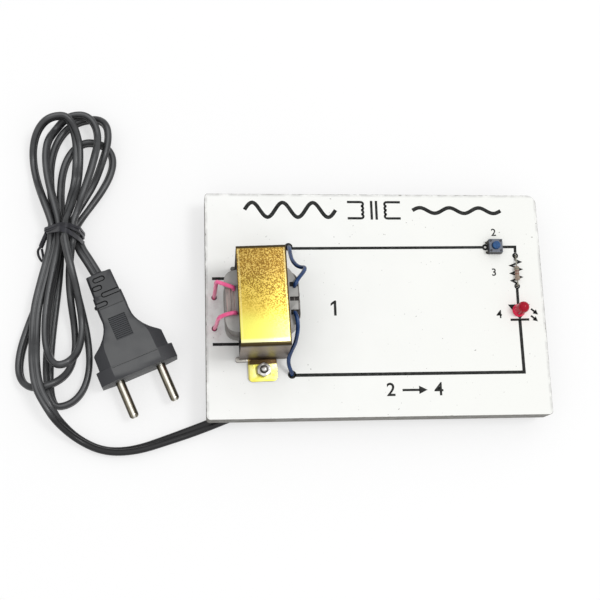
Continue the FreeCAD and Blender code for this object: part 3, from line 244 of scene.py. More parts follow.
class Paint:
    """A socket of a finish. Sums, differences, products and quotients of paints become Math nodes."""

    def __init__(self, tree, socket=None):
        self.tree, self.socket = tree, socket

    def node(self, kind, settings=None, inputs=None, output=0):
        """Any other node: its settings first, then the values or links of its sockets."""
        made = self.tree.nodes.new(kind)
        for name, value in (settings or {}).items():
            setattr(made, name, value)
        for name, value in (inputs or {}).items():
            if isinstance(value, Paint):
                self.tree.links.new(value.socket, made.inputs[name])
            else:
                made.inputs[name].default_value = value
        return Paint(self.tree, made.outputs[output])

    def maths(self, operation, *values):
        return self.node("ShaderNodeMath", {"operation": operation}, dict(enumerate(values)))

    def __add__(self, other):
        return self.maths("ADD", self, other)

    def __sub__(self, other):
        return self.maths("SUBTRACT", self, other)

    def __rsub__(self, other):
        return self.maths("SUBTRACT", other, self)

    def __mul__(self, other):
        return self.maths("MULTIPLY", self, other)

    __radd__, __rmul__ = __add__, __mul__

    def __abs__(self):
        return self.maths("ABSOLUTE", self)

    def rise(self, start, end):
        """0 up to the start value, 1 from the end value on, smooth between; start may be the larger."""
        step = self.node("ShaderNodeMapRange", {"interpolation_type": "SMOOTHSTEP"},
                         {"Value": self, "From Min": min(start, end), "From Max": max(start, end)})
        return step if start < end else 1.0 - step

    def between(self, first, second):
        """The first colour where this mask is 0, the second where it is 1."""
        colours = [c if isinstance(c, Paint) else (*c, 1.0) for c in (first, second)]
        return self.node("ShaderNodeMix", {"data_type": "RGBA"}, {0: self, 6: colours[0], 7: colours[1]}, 2)

    def larger(self, other):
        return self.maths("MAXIMUM", self, other)

    def normal(self):
        """Which way the surface faces."""
        return self.node("ShaderNodeNewGeometry", output="Normal")

    def axis(self, name):
        return self.node("ShaderNodeSeparateXYZ", inputs={"Vector": self}, output=name)

    def noise(self, size, detail=2.0, stretch=(1.0, 1.0, 1.0)):
        """A cloudy pattern with spots of about this size in metres, longer along small stretches."""
        spot = self.node("ShaderNodeMapping", inputs={"Vector": self, "Scale": stretch})
        return self.node("ShaderNodeTexNoise", inputs={"Vector": spot, "Scale": 1.0 / size, "Detail": detail})

    def finish(self, colour, roughness, relief=None, depth=0.0, **more):
        """Feeds the shader: colour, roughness, a relief of this depth in metres, and uniform values."""
        shader = self.tree.nodes["Principled BSDF"]
        sockets = {"Base Color": colour, "Roughness": roughness}
        sockets.update({name.replace("_", " "): value for name, value in more.items()})
        if relief is not None:
            sockets["Normal"] = self.node("ShaderNodeBump", inputs={"Height": relief, "Distance": depth,
                                                                    "Strength": 1.0})
        for name, value in sockets.items():
            if isinstance(value, Paint):
                self.tree.links.new(value.socket, shader.inputs[name])
            elif isinstance(value, tuple):
                shader.inputs[name].default_value = (*value, 1.0)
            else:
                shader.inputs[name].default_value = value


def new_finish(name):
    """A material and its Object coordinates, to paint with."""
    material = bpy.data.materials.new(name)
    material.use_nodes = True
    return material, Paint(material.node_tree).node("ShaderNodeTexCoord", output="Object")


def coat(material, *pieces):
    """The pieces carry this material alone."""
    for piece in pieces:
        piece.data.materials.clear()
        piece.data.materials.append(material)


def fit(piece, material, slot, *solids):
    """The finished piece gets its material, rides on the board and stands for these solids; its slot is not used."""
    coat(material, piece)
    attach(piece, "board")
    if solids:
        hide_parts(*solids)


cord_points = lay_cord()
mains_cord = spline_curve("mains_cord", [point[:3] for point in cord_points],
                          [FLAT - point[3] for point in cord_points])
cord_path = curve_line(mains_cord)
section = cord_section()
mains_cord.data.bevel_mode, mains_cord.data.bevel_object = "OBJECT", section
mains_cord = made_solid(mains_cord)
bpy.data.objects.remove(section)
cord_black, place = new_finish("cord_pvc")
grain, bloom = place.noise(0.0004, 3.0), place.noise(0.006, 3.0)
facing = place.normal().axis("Z")
upper_tone_and_highlight = bloom.rise(0.35, 0.7).between((0.042, 0.043, 0.045), (0.062, 0.064, 0.066))
# Faces turned straight up are lightened: a painted highlight.
upper_tone_and_highlight = (facing.rise(0.93, 0.995) * 0.55).between(upper_tone_and_highlight, (0.150, 0.153, 0.157))
# The lead in front of the board is a darker black.
upper_tone_and_highlight = place.axis("Y").rise(-0.0450, -0.0490).between(upper_tone_and_highlight, (0.014, 0.014, 0.015))
# Faces turned sideways are darkened nearly to black: painted shade.
place.finish(facing.rise(0.15, 0.85).between((0.012, 0.012, 0.013), upper_tone_and_highlight), 0.24 + 0.12 * grain, grain, 0.00002,
             Specular_IOR_Level=0.35)
coat(cord_black, nodes["cord_tail"])
fit(mains_cord, cord_black, "cord_black", "cord_lead", "cord_hank", "plug_cord")


# ------------------------------------------------------------------ board
# A 150 by 100 mm piece of fibre board with white painted edges, standing on four rubber feet; the paint on its
# sides is given a mid grey, painted shade. Its print is a thin laminated sheet glued on top, whose edge is chipped
# and shows the grey board under it.
SHEET_LOW, SHEET_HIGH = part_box("printed_sheet")
SHEET_TOP = SHEET_HIGH[2]
SHEET_MARGIN, NIBBLE_DEPTH, NIBBLES_A_METRE, WAVES_A_METRE, FRONT_ROUGHNESS = 0.00018, 0.00016, 900, 160, 0.25
WHOLE_X, WHOLE_Y = 0.0735, 0.0485
CORNER_RADIUS, WORN_CORNER_RADIUS = 0.0015, 0.0040
CHIPS = mm([(-74.6, 31.2, 0.9), (-74.7, 12.6, 0.6), (-74.7, -9, 0.9), (-74.7, -33.4, 0.7), (-42, 49.7, 0.6),
            (12.6, 49.7, 0.9), (15.4, 49.6, 0.8), (42.1, 49.7, 0.6), (-12, 49.7, 0.5), (74.8, 26, 0.5),
            (74.8, -12, 0.5), (30, -49.8, 0.5)])
LEAD_HOLES = mm([(-71.3, 2.8), (-71.3, -10.9), (-38.5, 25.5), (-38.5, -31.2)])
BOLT_HOLES = mm([(-51.4, 20.3), (-51.4, -28.9)])
SWITCH_AT = (0.0539, 0.0252)
LAMP_AT = (0.0626, -0.0040)
RESISTOR_Y = 0.0130
RESISTOR_HOLES = mm([(63.3, 21.5), (63.3, 7.4)])


def arc(middle, radius, start, end, steps=6):
    """Points on a circle, from one angle in degrees to another."""
    turns = [radians(start + (end - start) * step / steps) for step in range(steps + 1)]
    return [(middle[0] + radius * cos(turn), middle[1] + radius * sin(turn)) for turn in turns]


def ring_points(centre, radius, count=24):
    return arc(centre, radius, 0, 360, count)[:-1]


def worn_outline(step=0.0006):
    """The sheet's outline, in from the board's edge by its margin and by every chip and nibble."""
    (left, front), (right, back) = SHEET_LOW[:2], SHEET_HIGH[:2]
    outline, points = [], []
    for x, y, radius, start in ((right, back, WORN_CORNER_RADIUS, 0), (left, back, CORNER_RADIUS, 90),
                                (left, front, CORNER_RADIUS, 180), (right, front, CORNER_RADIUS, 270)):
        centre = (x - copysign(radius, x), y - copysign(radius, y))
        outline += [Vector(point) for point in arc(centre, radius, start, start + 90)]
    for here, after in zip(outline, outline[1:] + outline[:1]):
        count = max(1, round((after - here).length / step))
        for point in [here.lerp(after, share / count) for share in range(count)]:
            inward = Vector((-point.x / right, -point.y / back)).normalized()
            inward = Vector((inward.x * (abs(point.x) > WHOLE_X), inward.y * (abs(point.y) > WHOLE_Y)))
            rough = 1.0 if point.y > -WHOLE_Y else FRONT_ROUGHNESS
            nibble = noise.noise((point.x * NIBBLES_A_METRE, point.y * NIBBLES_A_METRE, 0.5))
            nibble += 0.6 * noise.noise((point.x * WAVES_A_METRE, point.y * WAVES_A_METRE, 3))
            bite = SHEET_MARGIN + NIBBLE_DEPTH * rough * max(-0.9, nibble)
            for chip_x, chip_y, size in CHIPS:
                bite += 0.6 * max(0.0, size - (point - Vector((chip_x, chip_y))).length)
            points.append(tuple(point + inward * bite))
    return points


def flat_piece(name, outlines, low, high):
    """A flat piece cut to the first outline, with the others as holes in it, from low to high."""
    curve = closed_outline(name, *outlines)
    curve.data.fill_mode, curve.data.extrude = "BOTH", (high - low) / 2
    piece = made_solid(curve)
    piece.data.transform(Matrix.Translation((0, 0, (low + high) / 2)))
    return piece


LED_PITCH, SWITCH_LEG_X, SWITCH_LEG_Y = 0.00127, 0.00325, 0.00225
SHEET_HOLES = ([(at, 0.0012, 24) for at in LEAD_HOLES] + [(at, 0.0016, 24) for at in BOLT_HOLES]
               + [(at, 0.0005, 12) for at in RESISTOR_HOLES]
               + [((LAMP_AT[0], LAMP_AT[1] + side * LED_PITCH), 0.0005, 12) for side in (1, -1)]
               + [((SWITCH_AT[0] + side * SWITCH_LEG_X, SWITCH_AT[1] + end * SWITCH_LEG_Y), 0.0006, 12)
                  for side in (1, -1) for end in (1, -1)])
printed_face = flat_piece("printed_face", [worn_outline()] + [ring_points(*hole) for hole in SHEET_HOLES],
                          SHEET_LOW[2], SHEET_TOP)
laminate, place = new_finish("laminated_print")
cloud, dirt, spot = place.noise(0.018, 2.0), place.noise(0.0011, 1.0), place.noise(0.012, 2.0, (1.0, 1.0, 0.1))
soil = dirt.rise(0.735, 0.80) * spot.rise(0.42, 0.62)
# Painted light: the sheet is lighter on the left and darker towards the right.
white = place.axis("X").rise(-0.075, 0.070).between((0.885, 0.890, 0.872), (0.830, 0.836, 0.805))
white = (cloud.rise(0.3, 0.7) * 0.5).between(white, (0.830, 0.836, 0.810))
# A pinkish grey patch on the sheet round the pink leads' holes.
pinkish_patch_by_leads = abs(place.axis("X") + 0.0713).rise(0.0055, 0.0015)
pinkish_patch_by_leads = pinkish_patch_by_leads * abs(place.axis("Y") + 0.0045).rise(0.016, 0.010) * place.noise(0.0022, 3.0).rise(0.42, 0.7)
white = (pinkish_patch_by_leads * 0.30).between(white, (0.62, 0.55, 0.55))
rim = abs(place.axis("X")).rise(WHOLE_X, 0.0744).larger(place.axis("Y").rise(WHOLE_Y, 0.0494))
white = (rim * place.noise(0.004, 3.0).rise(0.3, 0.6) * 0.6).between(white, (0.52, 0.52, 0.51))
place.finish((soil * 0.75).between(white, (0.22, 0.21, 0.19)), 0.55 + 0.12 * cloud,
             place.noise(0.03, 2.0), 0.0002)
fit(printed_face, laminate, "print_sheet", "printed_sheet")

painted_edge, place = new_finish("painted_fibre_board")
fibre, wear = place.noise(0.0009, 3.0, (0.25, 0.25, 1.0)), place.noise(0.004, 4.0)
bare = wear.rise(0.40, 0.60) * 0.8 + place.axis("Z").rise(0.0150, 0.0160) * 0.3
board = fibre.rise(0.3, 0.7).between((0.160, 0.152, 0.138), (0.215, 0.207, 0.190))
# The sides' paint is a mid grey that stands for white paint in shade; worn patches, more near the top, show the fibre.
place.finish(bare.between((0.245, 0.240, 0.225), board), 0.85, fibre, 0.00010)
coat(painted_edge, nodes["base_board"])


def mottled(name, tones, size, roughness, grain, depth, detail=2.0, spread=(0.3, 0.7), stretch=(1.0, 1.0, 1.0), **more):
    """A finish that drifts between two tones in spots of this size, over a fine grain of this depth."""
    material, place = new_finish(name)
    relief = place.noise(grain, stretch=stretch) if grain else None
    place.finish(place.noise(size, detail).rise(*spread).between(*tones), roughness, relief, depth, **more)
    return material


foot_rubber = mottled("foot_rubber", ((0.018, 0.018, 0.018), (0.032, 0.031, 0.030)), 0.003, 0.75, 0.0005, 0.00004)
coat(foot_rubber, nodes["board_feet"])


# ------------------------------------------------------------------ printed circuit
# The circuit diagram is printed on the sheet in near-black ink: lines as broad as a wire, rings at the
# nodes, a zigzag under the resistor and a diode under the lamp. Words are left out; plain numbers stand
# at their places, and the title's place holds the symbols of a high wave, a transformer and a low wave.
INK_TOP = SHEET_TOP + 0.00003
# Each line's points and its breadth, and below each ring's middle, outside and inside radius, in millimetres.
LINE, THIN = 1.25, 0.80
CIRCUIT_LINES = mm([
    ([(-38.5, 24.8), (48.7, 25.4)], LINE), ([(51.2, 25.5), (63.7, 25.6), (63.6, 22.9)], LINE),
    ([(63.4, 20.4), (63.3, 19.6), (65.5, 18.6), (61.1, 16.9), (65.6, 15.2), (61.1, 13.3), (65.5, 11.6),
      (61.1, 9.9), (63.2, 8.8), (63.3, 8.2)], THIN),
    ([(63.2, 6.4), (63.1, -1.4)], LINE), ([(63.3, -7.9), (63.4, -31.3), (-38.5, -31.5)], 1.42),
    ([(59.1, -7.9), (67.6, -7.8)], 1.05), ([(-72.1, 11.2), (-64, 11.2)], 1.3),
    ([(-72.1, -17.8), (-61, -17.8)], 1.3), ([(68.8, -3), (70.8, -4.7)], 0.85),
    ([(68.5, -6.1), (70.5, -7.8)], 0.85)])
ARROW_SIZE = 0.0022
ARROW_HEADS = mm([(71.8, -5.6), (71.5, -8.7)])
INK_RINGS = mm([((50, 25.4), 1.48, 0.5), ((63.5, 21.5), 1.35, 0.6), ((63.3, 7.4), 1.3, 0.6),
                ((-38.5, 25.5), 1.8, 1.2), ((-38.5, -31.2), 1.8, 1.2)])
TITLE_Y, SYMBOL_X, SYMBOL_LINE, COIL_END, CORE_END = 0.0426, 0.0003, 0.0011, 0.0038, 0.0044
DIODE = mm([(58.4, -1), (68.4, -0.8), (63.4, -7.8)])
DIODE_HOLLOW = mm([(60.5, -2), (66.3, -1.9), (63.4, -5.8)])


def line_outline(points, width):
    """The outline of a drawn line of this width, mitred where it turns."""
    points = [Vector(point) for point in points]
    left, right = [], []
    for index, point in enumerate(points):
        before = (point - points[index - 1]).normalized() if index else None
        after = (points[index + 1] - point).normalized() if index + 1 < len(points) else None
        ahead = ((before or after) + (after or before)).normalized()
        side = Vector((-ahead.y, ahead.x))
        straight = Vector((-(after or before).y, (after or before).x))
        reach = width / 2 / max(0.3, side.dot(straight))
        left.append(tuple(point + side * reach))
        right.append(tuple(point - side * reach))
    return left + right[::-1]


def printed(name, outline_sets):
    """One print made of several flat ink marks; each mark is an outline with its holes."""
    return joined(name, [flat_piece(name, outlines, SHEET_TOP, INK_TOP) for outlines in outline_sets])


def joined(name, parts):
    bpy.ops.object.select_all(action="DESELECT")
    for part in parts:
        part.select_set(True)
    bpy.context.view_layer.objects.active = parts[0]
    bpy.ops.object.join()
    parts[0].name = name
    return parts[0]


def arrow_head(tip):
    tip, along = Vector(tip), ARROW_SIZE * Vector((0.75, -0.66)).normalized()
    across = 0.55 * Vector((-along.y, along.x))
    return [tuple(tip), tuple(tip - along + across), tuple(tip - along - across)]


def wave(left, height, length=0.0405, steps=60):
    """One of the title's waves, three cycles long, from its left end."""
    return line_outline([(left + length * step / steps, TITLE_Y + height * sin(6 * pi * step / steps))
                         for step in range(steps + 1)], 0.0017)


def winding(x, side, bumps=4, radius=0.00095):
    """Half rings in a column, as a winding is drawn, each as an outline of its own."""
    for bump in range(bumps):
        centre = TITLE_Y + (bumps / 2 - 0.5 - bump) * 2 * radius
        half_ring = [(x + side * (spot[0] - x), spot[1]) for spot in arc((x, centre), radius, 90, -90, 12)]
        yield line_outline(half_ring, 0.0010)


circuit = [[line_outline(points, width)] for points, width in CIRCUIT_LINES]
circuit += [[ring_points(centre, outer), ring_points(centre, inner)] for centre, outer, inner in INK_RINGS]
circuit += [[arrow_head(tip)] for tip in ARROW_HEADS] + [[DIODE, DIODE_HOLLOW]]
printed_circuit = printed("printed_circuit", circuit)

title_marks = [wave(-0.0575, 0.0034), wave(0.0178, 0.0013)]
for side in (1, -1):
    coil_x, core_x = SYMBOL_X - side * 0.0058, SYMBOL_X - side * 0.0011
    title_marks += winding(coil_x, side)
    title_marks += [line_outline([(coil_x - side * 0.0062, TITLE_Y + end * COIL_END),
                                  (coil_x, TITLE_Y + end * COIL_END)], SYMBOL_LINE) for end in (1, -1)]
    title_marks.append(line_outline([(core_x, TITLE_Y + CORE_END), (core_x, TITLE_Y - CORE_END)], SYMBOL_LINE))
printed_symbols = printed("printed_symbols", [[outline] for outline in title_marks])

NUMBERS = [("2", (0.0543, 0.0322), 0.0033), ("3", (0.0532, 0.0137), 0.0033),
           ("4", (0.0542, -0.0055), 0.0036), ("2", (0.0040, -0.0385), 0.0056), ("4", (0.0250, -0.0385), 0.0056)]


def printed_number(digit, at, height):
    """A number of the print, as high as this, made flat ink."""
    bpy.ops.object.select_all(action="DESELECT")
    bpy.ops.object.text_add()
    text = bpy.context.object
    text.data.body = digit
    text.data.align_x, text.data.align_y = "CENTER", "CENTER"
    text.data.size = height / 0.70
    text.data.offset = height * 0.022
    text.data.extrude = (INK_TOP - SHEET_TOP) / 2
    bpy.ops.object.convert(target="MESH")
    text.data.transform(Matrix.Translation((*at, (SHEET_TOP + INK_TOP) / 2)))
    return text


numbers = [printed_number(*number) for number in NUMBERS]
for name, outline in (("one", [(-18.3, -5.5), (-18.3, 1.2), (-19.1, 1.2), (-20.8, -0.1), (-20.8, -1.2),
                               (-19.4, -0.2), (-19.4, -5.5)]),
                      ("arrow", [(9, -39), (16.3, -39), (16.3, -40.3), (20, -38.5), (16.3, -36.7), (16.3, -38),
                                 (9, -38)])):
    numbers.append(flat_piece(name, [mm(outline)], SHEET_TOP, INK_TOP))
printed_numbers = joined("printed_numbers", numbers)
ink = mottled("printing_ink", ((0.012, 0.013, 0.012), (0.034, 0.036, 0.034)), 0.0016, 0.6, None, 0.0, 3.0, (0.35, 0.75),
              Specular_IOR_Level=0.15)
for piece in (printed_circuit, printed_symbols, printed_numbers):
    fit(piece, ink, "print_sheet")


# ------------------------------------------------------------------ transformer frame
# A strip of 0.8 mm steel bent over the core into a saddle with two screw tabs and a small foot at each
# wall's left end, zinc plated yellow, mottled, and dark at its cut edges. Painted reflections make its top orange
# towards the back and bright at the front; painted highlights run along its front edge and its long edges, and
# painted shade darkens the bends, the walls towards their foot and under the bends, and the tabs next to the
# walls. The transformer sits two degrees askew on the board and leans a little.
CORE_HALF, STACK_HALF, LEG, CORE_BASE, CORE_SPLIT, CORE_TOP = 0.0196, 0.0100, 0.0064, 0.0162, 0.0418, 0.0482
ASKEW = radians(2.0)
TRANSFORMER_X, TRANSFORMER_Y, LEAN = -0.05145, -0.0041, 0.0280
TRANSFORMER_PLACE = (Matrix.Translation((TRANSFORMER_X, TRANSFORMER_Y, 0)) @ Matrix.Rotation(ASKEW, 4, "Z")
                     @ Matrix(((1, 0, -LEAN, CORE_BASE * LEAN), (0, 1, 0, 0), (0, 0, 1, 0), (0, 0, 0, 1))))
FRAME_HALF, WALL, WALL_TOP, GAUGE, TOP, BEND, HEEL = 0.0102, 0.0204, 0.0209, 0.0008, 0.0490, 0.0011, 0.0006
TAB_HALF, TAB_FRONT, TAB_BACK, TAB_ASIDE, TAB_CORNER = 0.0062, -0.0300, 0.0290, -0.0005, 0.0018
HOLE_FRONT, HOLE_BACK, HOLE_RADIUS = -0.0252, 0.0246, 0.0016
# Slants cut off the walls' lower corners (side, reach, rise) and the feet (end, reach, depth, how far proud).
CORNER_CUTS = [(1, 0.0024, 0.0046), (-1, 0.0006, 0.0012)]
FRAME_FEET = [(1, 0.0018, 0.0017, 0.0003), (-1, 0.0016, 0.0023, 0.0010)]


def alone(piece):
    """Only this piece is selected and active."""
    bpy.ops.object.select_all(action="DESELECT")
    piece.select_set(True)
    bpy.context.view_layer.objects.active = piece
    return piece


def settled(name):
    """Names the newest primitive and moves its place, turn and size into its mesh."""
    piece = bpy.context.object
    piece.name = name
    bpy.ops.object.transform_apply(location=True, rotation=True, scale=True)
    return piece


def cylinder(name, radius, low, high, sides=32, at=(0.0, 0.0)):
    bpy.ops.object.select_all(action="DESELECT")
    bpy.ops.mesh.primitive_cylinder_add(vertices=sides, radius=radius, depth=high - low,
                                        location=(*at, (low + high) / 2))
    return settled(name)


def cuboid(name, low, high):
    bpy.ops.object.select_all(action="DESELECT")
    bpy.ops.mesh.primitive_cube_add(size=1.0, location=(Vector(low) + Vector(high)) / 2)
    bpy.context.object.scale = Vector(high) - Vector(low)
    return settled(name)


def cut(piece, tool, operation="DIFFERENCE"):
    """The tool is cut out of the piece, or kept in common with it, and goes."""
    alone(piece)
    change = piece.modifiers.new("cut", "BOOLEAN")
    change.object, change.operation, change.solver = tool, operation, "EXACT"
    bpy.ops.object.modifier_apply(modifier="cut")
    bpy.data.objects.remove(tool)
    return piece


def shade(piece, angle=40):
    """Faces that meet at less than this angle are shaded as one."""
    alone(piece)
    bpy.ops.object.shade_smooth_by_angle(angle=radians(angle))
    return piece


def soften(piece, width, segments=2, angle=30):
    """Every sharp edge of the piece is rounded by this width, and its faces are shaded smooth."""
    alone(piece)
    edge = piece.modifiers.new("soften", "BEVEL")
    edge.width, edge.segments, edge.limit_method = width, segments, "ANGLE"
    edge.angle_limit = radians(angle)
    bpy.ops.object.modifier_apply(modifier="soften")
    return shade(piece)


def face_outwards(piece):
    alone(piece)
    bpy.ops.object.mode_set(mode="EDIT")
    bpy.ops.mesh.select_all(action="SELECT")
    bpy.ops.mesh.normals_make_consistent(inside=False)
    bpy.ops.object.mode_set(mode="OBJECT")
    return piece


def round_edges(piece, test, width, segments=5):
    """The edges whose two ends pass the test are rounded by this width."""
    alone(piece)
    bpy.ops.object.mode_set(mode="EDIT")
    bpy.ops.mesh.select_mode(type="EDGE")
    bpy.ops.mesh.select_all(action="DESELECT")
    mesh = bmesh.from_edit_mesh(piece.data)
    for edge in mesh.edges:
        if test(edge.verts[0].co, edge.verts[1].co):
            edge.select_set(True)
    mesh.select_flush_mode()
    bmesh.update_edit_mesh(piece.data)
    bpy.ops.mesh.bevel(offset=width, segments=segments)
    bpy.ops.object.mode_set(mode="OBJECT")
    return piece


def side_piece(name, outlines, left, right):
    """A flat piece whose outlines are (y, z), reaching from left to right along X."""
    piece = flat_piece(name, outlines, left, right)
    piece.data.transform(Matrix(((0, 0, 1, 0), (1, 0, 0, 0), (0, 1, 0, 0), (0, 0, 0, 1))))
    return piece


def bent_strip():
    """The strip's edge-on outline, bent twice over the core and out into two tabs at the feet."""
    inner, heel, low = BEND - GAUGE, HEEL, CORE_BASE
    front_heel, back_heel = [(side * (WALL + heel), low + heel + GAUGE) for side in (-1, 1)]
    front_top, back_top = [(side * (WALL_TOP - BEND), TOP - BEND) for side in (-1, 1)]
    return side_piece("bent_frame", [[
        (TAB_FRONT, low), *arc(front_heel, heel + GAUGE, 270, 360), *arc(front_top, inner, 180, 90),
        *arc(back_top, inner, 90, 0), *arc(back_heel, heel + GAUGE, 180, 270), (TAB_BACK, low),
        (TAB_BACK, low + GAUGE), *arc(back_heel, heel, 270, 180), *arc(back_top, BEND, 0, 90),
        *arc(front_top, BEND, 90, 180), *arc(front_heel, heel, 360, 270), (TAB_FRONT, low + GAUGE)]],
        -FRAME_HALF, FRAME_HALF)


def bolt_place(end):
    """Where a tab's hole is, in the transformer's own place."""
    return TAB_ASIDE, HOLE_BACK if end > 0 else HOLE_FRONT


bent_frame = bent_strip()
for end in (1, -1):
    for side in (1, -1):
        low, high = sorted((side * TAB_HALF + TAB_ASIDE, side * 0.02))
        near, far = sorted((end * (WALL + 0.0001), end * 0.04))
        cut(bent_frame, cuboid("beside_tab", (low, near, 0.01), (high, far, 0.0185)))
    near, far = sorted((end * (WALL - 0.002), end * 0.04))
    for side, reach, rise in CORNER_CUTS:
        top = CORE_BASE + rise
        corner = cuboid("wall_corner", (FRAME_HALF - reach, near, 0.0), (FRAME_HALF + 0.02, far, top))
        corner.data.transform(Matrix.Translation((FRAME_HALF, 0, top))
                              @ Matrix.Rotation(atan2(rise, reach) - pi / 2, 4, "Y")
                              @ Matrix.Translation((-FRAME_HALF + reach, 0, -top)))
        if side < 0:
            corner.data.transform(Matrix.Rotation(pi, 4, "Z") @ Matrix.Scale(-1, 4, (0, 1, 0)))
            face_outwards(corner)
        cut(bent_frame, corner)
    cut(bent_frame, cylinder("tab_hole", HOLE_RADIUS, 0.01, 0.02, at=bolt_place(end)))
round_edges(bent_frame, lambda a, b: abs(a.z - b.z) > 0.0004 and (a.xy - b.xy).length < 1e-6
            and abs(a.y) > 0.0285 and abs(abs(a.x - TAB_ASIDE) - TAB_HALF) < 1e-5, TAB_CORNER)
soften(bent_frame, 0.00012)
feet = []
for end, reach, deep, proud in FRAME_FEET:
    near, far = sorted((end * (WALL + proud), end * (WALL + proud - deep)))
    foot = cuboid("frame_foot", (-FRAME_HALF - reach, near, CORE_BASE), (-TAB_HALF + 0.0010, far, CORE_BASE + 0.0014))
    round_edges(foot, lambda a, b: abs(a.z - b.z) > 0.001 and a.x < -FRAME_HALF, 0.0008)
    feet.append(soften(foot, 0.00025))
bent_frame = joined("bent_frame", [bent_frame] + feet)
bent_frame.data.transform(TRANSFORMER_PLACE)

yellow_zinc, place = new_finish("yellow_zinc")
z = place.axis("Z")
x, y = place.axis("X") - TRANSFORMER_X + (z - CORE_BASE) * LEAN, place.axis("Y") - TRANSFORMER_Y
across, along = x * cos(ASKEW) + y * sin(ASKEW), y * cos(ASKEW) - x * sin(ASKEW)
up = place.normal().axis("Z").rise(0.30, 0.75)
back_share = along.rise(-0.0178, 0.0140)
fine, broad = place.noise(0.00040, 0.0), place.noise(0.0045, 3.0)
worn_share = (along + across * 0.55).rise(-0.0185, 0.0080)
specks = (fine + broad * 0.25).rise(0.57, 0.74) * (worn_share * 1.1 + 0.10).rise(0.0, 1.0) * 0.9
glints = (fine + broad * 0.2).rise(0.54, 0.40) * back_share
# Painted reflection: orange at the back, an orange band across the middle, bright yellow at the front.
gold = back_share.between((0.90, 0.87, 0.165), (0.50, 0.300, 0.055))
gold = (abs(along + 0.0010).rise(0.0110, 0.0030) * 0.75).between(gold, (0.74, 0.53, 0.088))
gold = (glints * 0.6).between(gold, (0.84, 0.65, 0.20))
gold = specks.between(gold, worn_share.between((0.52, 0.34, 0.03), (0.215, 0.115, 0.020)))
# Painted highlight: a pale band along the front edge of the top.
gold = (along.rise(-0.0174, -0.0187) * 0.7).between(gold, (1.0, 0.97, 0.60))
side = abs(across)
# Painted highlight: a pale line just inside each long edge of the top.
gold = (side.rise(0.0088, 0.0092) * side.rise(0.0098, 0.0095) * 0.35).between(gold, (1.0, 0.88, 0.42))
gold = (across.rise(0.0094, 0.0098) + across.rise(-0.0099, -0.0101)).between(gold, (0.055, 0.036, 0.012))
# Painted shade: a dark line along both bends.
bend = along.rise(0.0192, 0.0198) + along.rise(-0.0191, -0.0196)
gold = bend.between(gold, (0.060, 0.042, 0.016))
streaks = place.noise(0.005, 3.0, (1.0, 1.0, 0.35))
# Painted shade: the walls darker towards their foot and dark just under the bends.
wall = z.rise(0.018, 0.044).between((0.070, 0.047, 0.036), (0.205, 0.155, 0.115))
wall = z.rise(0.0462, 0.0472).between(wall, (0.045, 0.032, 0.014))
wall = (streaks.rise(0.40, 0.66) * 0.35).between(wall, (0.250, 0.205, 0.175))
wall = (place.noise(0.0007, 3.0).rise(0.56, 0.70) * 0.5).between(wall, (0.060, 0.045, 0.030))
out = abs(along)
shine = (place.noise(0.006, 2.0).rise(0.35, 0.65) * 0.7).between((0.90, 0.82, 0.13), (1.0, 0.97, 0.50))
# Painted reflection of the wall: the tab is dark brown next to it.
tab = out.rise(0.0229, 0.0224).between(shine, (0.085, 0.050, 0.020))
tab = (side.rise(TAB_HALF - 0.0004, TAB_HALF - 0.0001) * 0.5).between(tab, (0.40, 0.30, 0.06))
foot_tone = place.axis("Y").rise(-0.010, 0.0).between((0.46, 0.44, 0.40), (0.115, 0.115, 0.110))
tab = (across.rise(-TAB_HALF - 0.0002, -TAB_HALF - 0.0006)).between(tab, foot_tone)
top_share = z.rise(0.040, 0.046)
metal = up.between(wall, top_share.between(tab, gold))
place.finish(metal, 0.30 + 0.16 * fine, fine, 0.00003, Metallic=0.85)
fit(bent_frame, yellow_zinc, "yellow_zinc", "transformer_frame")


# ------------------------------------------------------------------ transformer core
# Two stacks of forty punched silicon steel laminations, E shaped below and I shaped above, half a
# millimetre each, black with scale on their cut edges.
LAMINATION, LAMINATIONS = 0.0005, 40
half_e = [(CORE_HALF, CORE_BASE), (CORE_HALF, CORE_SPLIT), (CORE_HALF - LEG, CORE_SPLIT),
          (CORE_HALF - LEG, CORE_BASE + LEG), (LEG, CORE_BASE + LEG), (LEG, CORE_SPLIT)]
e_outline = [(-CORE_HALF, CORE_BASE)] + half_e + [(-y, z) for y, z in half_e[:0:-1]]
i_outline = [(-CORE_HALF, CORE_SPLIT), (CORE_HALF, CORE_SPLIT), (CORE_HALF, CORE_TOP), (-CORE_HALF, CORE_TOP)]


def lamination_stack(name, outline):
    """One lamination, repeated along X with a hair of space between two."""
    sheet = alone(side_piece(name, [outline], -STACK_HALF, -STACK_HALF + LAMINATION - 0.00006))
    stack = sheet.modifiers.new("stack", "ARRAY")
    stack.count, stack.use_relative_offset, stack.use_constant_offset = LAMINATIONS, False, True
    stack.constant_offset_displace = (LAMINATION, 0.0, 0.0)
    bpy.ops.object.modifier_apply(modifier="stack")
    sheet.data.transform(TRANSFORMER_PLACE)
    return sheet


core_steel, place = new_finish("core_laminations")
rust = place.noise(0.004, 3.0).rise(0.55, 0.75)
dull = place.noise(0.0025, 2.0, (6.0, 1.0, 1.0)).rise(0.3, 0.7).between((0.006, 0.006, 0.006), (0.022, 0.020, 0.018))
place.finish((rust * 0.5).between(dull, (0.050, 0.026, 0.012)), 0.8, place.noise(0.0008), 0.00002,
             Specular_IOR_Level=0.03)
for name, outline, node in (("core_e_stack", e_outline, "core_e_laminations"),
                            ("core_i_stack", i_outline, "core_i_laminations")):
    fit(lamination_stack(name, outline), core_steel, "core_steel", node)


